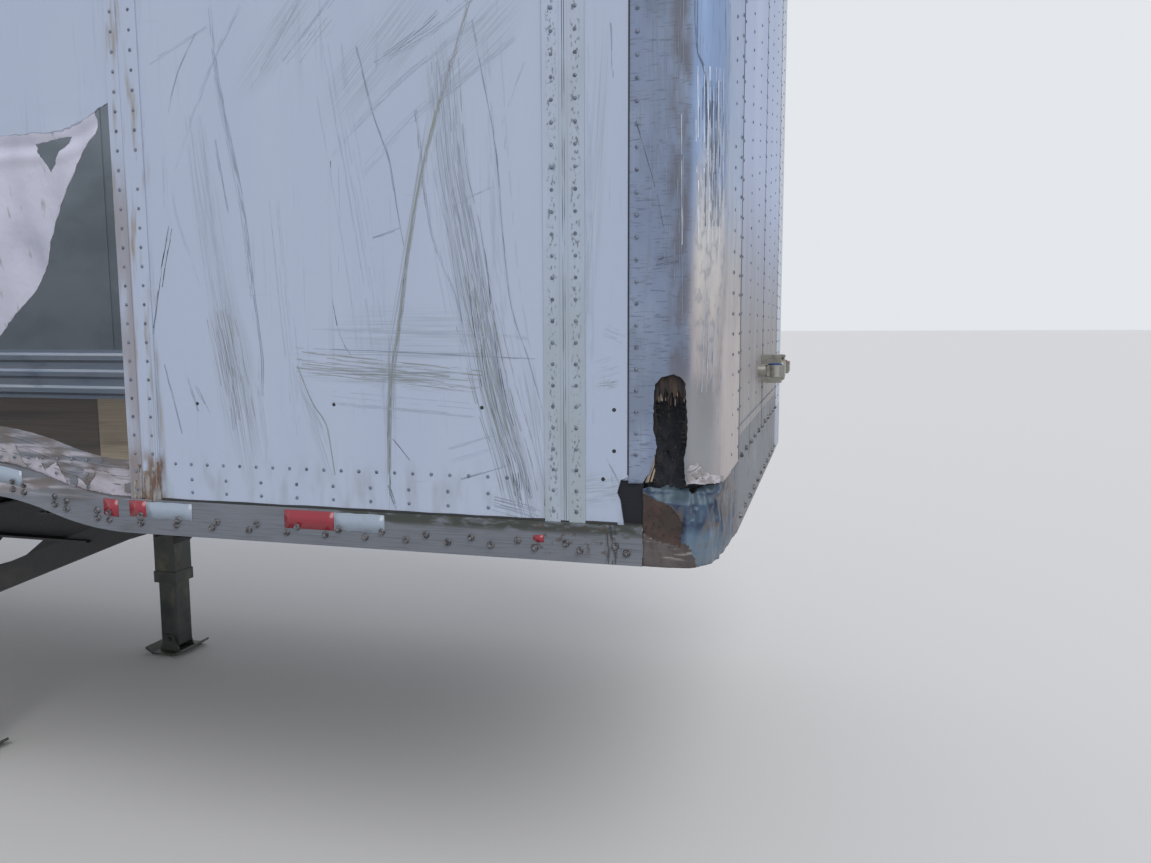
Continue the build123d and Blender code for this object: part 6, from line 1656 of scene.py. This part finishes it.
HINGE_FIRST, HINGE_PITCH, HINGE_COUNT = 0.130, 0.567, 5
LATCH_SCREW = [(0.0055, 0.003), (0.0055, 0.006), (0.0005, 0.0075)]


class VANTRAILER_OT_door_trims(bpy.types.Operator):
    """Seals, mouldings, rivets, strap bolts and handle latches of the rear doors"""
    bl_idname = "vantrailer.door_trims"
    bl_label = "Door Trims"

    def execute(self, context):
        for place, side in SIDES.items():
            low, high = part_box(f"door_{place}")
            body = f"rear_door_{place}"
            form = Form()
            frame_bars(form, low, high, 0.0, 0.019, 0.0045, 0)
            frame_bars(form, low, high, 0.020, 0.033, 0.0025, 1)
            form.piece(f"door_trim_{place}", ["gasket", "rail"], body, "tyre_rubber")
            x0, x1, z0, z1 = low.x + 0.036, high.x - 0.036, low.z + 0.036, high.z - 0.036
            rows = [rear_row(x0, x1, z, z, 0.002) for z in (z0, z1)]
            rows += [rear_row(x, x, z0 + 0.05, z1, 0.002) for x in (x0, x1)]
            fasten(f"door_rivets_{place}", rows, "rivet", 0.1016, "rivet_pale", body, seed=16)
            feet = [low.z + HINGE_FIRST + i * HINGE_PITCH for i in range(HINGE_COUNT)]
            straps = [rear_row(side * 1.005, side * 1.130, foot + up, foot + up, 0.007)
                      for foot in feet for up in (0.028, 0.082)]
            fasten(f"strap_bolts_{place}", straps, "bolt", 0.0624, "zinc", body, seed=17, scale=0.8)
            form = Form()
            for x, z in ((side * 0.690, FOOT + 0.700), (side * 0.390, FOOT + 0.900)):
                form.box((x - 0.036, TAIL, z - 0.062), (x + 0.036, TAIL + 0.004, z + 0.062))
                form.box((x - 0.012, TAIL + 0.0365, z - 0.042), (x + 0.012, TAIL + 0.0415, z + 0.030))
                form.box((x - 0.012, TAIL + 0.002, z - 0.046), (x + 0.012, TAIL + 0.0415, z - 0.041))
                form.tube([(end, TAIL + 0.030, z + 0.034) for end in (x - 0.020, x + 0.020)], 0.0065, 12)
                for dx, dz in ((0.026, -0.052), (-0.026, -0.052), (0.026, 0.052), (-0.026, 0.052)):
                    form.lathe(LATCH_SCREW, (x + dx, TAIL, z + dz), BACK, 8)
            form.piece(f"handle_latches_{place}", ["zinc"], body, "hardware_zinc", bevel=0.0008)
        return {"FINISHED"}


class VANTRAILER_OT_rear_fittings(bpy.types.Operator):
    """Lamp lenses, rivets of the rear frame and ribs of the mud flaps"""
    bl_idname = "vantrailer.rear_fittings"
    bl_label = "Rear Fittings"

    def execute(self, context):
        form = Form()
        lamps = [(side * x, FOOT + 0.090, 0.052, 0.016) for side in SIDES.values() for x in (1.0655, 0.9455)]
        lamps += [(x, ROOF - 0.060, 0.030, 0.012) for x in (-0.16, 0.0, 0.16)]
        for x, z, r, t in lamps:
            centre = (x, TAIL + 0.0003, z)
            form.lathe([(r, 0.0), (r, t * 0.5), (r * 0.95, t * 0.66), (r * 0.87, t * 0.6), (r * 0.85, t * 0.2)],
                       centre, BACK, 32, tone=1)
            form.lathe([(r * 0.86, t * 0.2), (r * 0.85, t * 0.72), (r * 0.78, t * 0.86), (r * 0.60, t * 0.93),
                        (r * 0.59, t * 0.87), (r * 0.40, t * 0.93), (r * 0.39, t * 0.99), (r * 0.2, t),
                        (0.0004, t)], centre, BACK, 32)
        form.piece("lamp_lenses", ["red_lens", "gasket"], slot="lamp_red", replaces=["lamps"], sharp=30)
        rows = [rear_row(side * x, side * x, FOOT + 0.20, ROOF - 0.17) for side in SIDES.values()
                for x in (HALF - 0.014, HALF - 0.078)]
        rows += [rear_row(-HALF + 0.10, HALF - 0.10, z, z)
                 for z in (ROOF - 0.018, ROOF - 0.135, FOOT + 0.165, FOOT + 0.012)]
        fasten("rear_frame_rivets", rows, "rivet", 0.1270, "rivet", seed=18)

        form = Form()
        low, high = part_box("mud_flaps")
        for side in SIDES.values():
            for i in range(9):
                x = side * (0.72 + i * 0.061)
                form.box((x - 0.006, high.y - 0.0455, low.z + 0.06), (x + 0.006, high.y - 0.0385, 0.98))
        form.piece("flap_ribs", ["flap"], slot="flap_rubber", bevel=0.002)
        return {"FINISHED"}


MARKER_RIM = [(0.034, 0.0), (0.034, 0.006), (0.029, 0.008), (0.026, 0.004)]
MARKER_LENS = [(0.0265, 0.004), (0.025, 0.012), (0.015, 0.0155), (0.0004, 0.016)]


class VANTRAILER_OT_nose_fittings(bpy.types.Operator):
    """Seals of the hose couplings, the socket's lid, side marker lamps and the roof's rivets"""
    bl_idname = "vantrailer.nose_fittings"
    bl_label = "Nose Fittings"

    def execute(self, context):
        low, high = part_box("hose_couplings")
        middle = (low.z + high.z) / 2
        form = Form()
        for x, tone in ((0.180, 1), (-0.180, 2)):
            form.lathe([(0.024, 0.0), (0.024, 0.003), (0.019, 0.005), (0.013, 0.003), (0.012, 0.0004)],
                       (x, low.y + 0.034, middle + 0.0198), (0, 0, 1), 24, tone)
            form.box((x - 0.012, low.y + 0.004, middle - 0.026), (x + 0.012, low.y + 0.05, middle - 0.0195))
        form.lathe([(0.042, 0.0), (0.042, 0.006), (0.038, 0.010), (0.020, 0.012), (0.0005, 0.012)],
                   (0, NOSE - 0.0702, middle), (0, -1, 0), 28)
        form.tube([(x, NOSE - 0.076, middle + 0.044) for x in (-0.026, 0.026)], 0.006, 10)
        form.piece("coupling_fittings", ["zinc", "red_seal", "blue_seal"], slot="hose_parts", sharp=30)

        form = Form()
        high = 2.887
        for side in SIDES.values():
            for run, height, tone in ((0.26, high, 0), (8.1, high, 0), (15.9, high, 1), (8.1, 0.068, 0)):
                centre = on_skin(side, run, height, RAIL_PROUD - 0.0004)
                for profile, index in ((MARKER_RIM, 2), (MARKER_LENS, tone)):
                    form.lathe(profile, centre, (side, 0, 0), 24, index)
        form.piece("side_markers", ["amber_lens", "red_lens", "gasket"], slot="lamp_red", sharp=30)

        low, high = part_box("roof_sheet")
        edge, top, up = high.x - 0.018, high.z, (0, 0, 1)
        rows = [((x, low.y + 0.03, top), (x, high.y - 0.03, top), up) for x in (-edge, edge)]
        rows += [((-edge, y, top), (edge, y, top), up) for y in (low.y + 0.02, high.y - 0.02)]
        fasten("roof_rivets", rows, "rivet", 0.0762, "rivet_pale", seed=19)
        form = Form()
        for x in (-edge + 0.020, edge - 0.020):
            form.box((x - 0.003, low.y + 0.01, top - 0.0004), (x + 0.003, high.y - 0.01, top + 0.0012))
        form.piece("roof_sealant", ["sealant"], slot="tyre_rubber")
        return {"FINISHED"}


# The whole trailer

class VANTRAILER_OT_dress_frame(bpy.types.Operator):
    """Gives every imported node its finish"""
    bl_idname = "vantrailer.dress_frame"
    bl_label = "Dress Frame"

    def execute(self, context):
        FINISHES.update(make_materials(context.scene.trailer_colours))
        for key, names in NODE_FINISH.items():
            for name in names:
                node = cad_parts[name]
                node.data.materials.clear()
                node.data.materials.append(FINISHES[key])
        return {"FINISHED"}


class VANTRAILER_OT_stage(bpy.types.Operator):
    """Pale floor, soft light and the camera"""
    bl_idname = "vantrailer.stage"
    bl_label = "Stage"

    def execute(self, context):
        stage = context.scene.trailer_stage
        scene = context.scene
        scene.view_settings.view_transform = "Standard"
        mesh = bpy.data.meshes.new("floor")
        corners = ((-300, -300), (300, -300), (300, 300), (-300, 300))
        mesh.from_pydata([(x, y, -0.001) for x, y in corners], [], [range(4)])
        mesh.materials.append(finish("pale_floor", "#d8d7d5", 0.85))
        floor = bpy.data.objects.new("floor", mesh)
        scene.collection.objects.link(floor)

        world = bpy.data.worlds.new("studio")
        world.use_nodes = True
        tree = world.node_tree
        tree.nodes.clear()
        path = add(tree, "ShaderNodeLightPath").outputs
        seen = path["Is Camera Ray"]
        for ray in ("Is Glossy Ray", "Is Transmission Ray"):
            seen = add(tree, "ShaderNodeMath", {0: seen, 1: path[ray]}, operation="MAXIMUM").outputs[0]
        lit = add(tree, "ShaderNodeBackground", {"Color": linear("#f3f6ff"), "Strength": stage.sky})
        plain = add(tree, "ShaderNodeBackground", {"Color": linear("#e9edf2"), "Strength": 0.95})
        mixed = add(tree, "ShaderNodeMixShader", {0: seen, 1: lit.outputs[0], 2: plain.outputs[0]})
        add(tree, "ShaderNodeOutputWorld", {"Surface": mixed.outputs[0]})
        scene.world = world

        lamp = bpy.data.lights.new("key", "SUN")
        lamp.energy = stage.sun
        lamp.angle = math.radians(40)
        key = bpy.data.objects.new("key", lamp)
        key.rotation_euler = Vector((-0.75, -0.55, 0.9)).to_track_quat("Z", "Y").to_euler()
        scene.collection.objects.link(key)

        # The hold gets what comes through its thin roof
        glow = bpy.data.lights.new("hold", "AREA")
        glow.shape, glow.size, glow.size_y = "RECTANGLE", 2.2, 15.4
        glow.energy = stage.hold
        inner = bpy.data.objects.new("hold", glow)
        inner.location = (0, (NOSE + TAIL) / 2, ROOF - 0.16)
        scene.collection.objects.link(inner)

        yaw, pitch, roll = stage.yaw, stage.pitch, stage.roll
        ahead = Vector((math.cos(yaw), math.sin(yaw), 0))
        right = Vector((math.sin(yaw), -math.cos(yaw), 0))
        sight = ahead * math.cos(pitch) - Vector((0, 0, math.sin(pitch)))
        up = Vector((0, 0, math.cos(pitch))) + ahead * math.sin(pitch)
        across = right * math.cos(roll) + up * math.sin(roll)
        above = up * math.cos(roll) - right * math.sin(roll)
        place = Vector((-stage.out, NOSE - stage.ahead, FOOT + stage.over))
        camera_data = bpy.data.cameras.new("photo_view")
        camera_data.lens = stage.lens
        camera_data.sensor_width = 36.0
        camera = bpy.data.objects.new("photo_view", camera_data)
        camera.matrix_world = Matrix((
            (across.x, above.x, -sight.x, place.x), (across.y, above.y, -sight.y, place.y),
            (across.z, above.z, -sight.z, place.z), (0, 0, 0, 1)))
        scene.collection.objects.link(camera)
        scene.camera = camera
        return {"FINISHED"}


class VANTRAILER_PT_dressing(bpy.types.Panel):
    """Lists the steps that dress the trailer"""
    bl_idname = "VANTRAILER_PT_dressing"
    bl_label = "Van Trailer"
    bl_space_type = "VIEW_3D"
    bl_region_type = "UI"
    bl_category = "Van Trailer"

    def draw(self, context):
        for step in STEPS:
            self.layout.operator(step.bl_idname)
        for group in ("trailer_colours", "trailer_sizes", "trailer_stage"):
            settings = getattr(context.scene, group)
            for name in settings.__annotations__:
                self.layout.prop(settings, name)


STEPS = (
    VANTRAILER_OT_dress_frame, VANTRAILER_OT_stage, VANTRAILER_OT_wrecked_skin, VANTRAILER_OT_crushed_casting,
    VANTRAILER_OT_splinters, VANTRAILER_OT_torn_plate, VANTRAILER_OT_bared_flange, VANTRAILER_OT_seams,
    VANTRAILER_OT_splice_foot, VANTRAILER_OT_tyres, VANTRAILER_OT_wheel_fittings, VANTRAILER_OT_leg_fittings,
    VANTRAILER_OT_door_trims, VANTRAILER_OT_rear_fittings, VANTRAILER_OT_nose_fittings,
    VANTRAILER_OT_wall_rivets, VANTRAILER_OT_nose_rivets, VANTRAILER_OT_rail_bolts, VANTRAILER_OT_marker_tape,
    VANTRAILER_OT_scratches,
)
GROUPS = {"trailer_colours": TrailerColours, "trailer_sizes": TrailerSizes, "trailer_stage": TrailerStage}


def register():
    for kind in (*GROUPS.values(), *STEPS, VANTRAILER_PT_dressing):
        bpy.utils.register_class(kind)
    for name, kind in GROUPS.items():
        setattr(bpy.types.Scene, name, PointerProperty(type=kind))


def unregister():
    for name in GROUPS:
        delattr(bpy.types.Scene, name)
    for kind in (VANTRAILER_PT_dressing, *STEPS[::-1], *list(GROUPS.values())[::-1]):
        bpy.utils.unregister_class(kind)


def main():
    register()
    for step in STEPS:
        group, name = step.bl_idname.split(".")
        getattr(getattr(bpy.ops, group), name)()


if __name__ == "__main__":
    main()
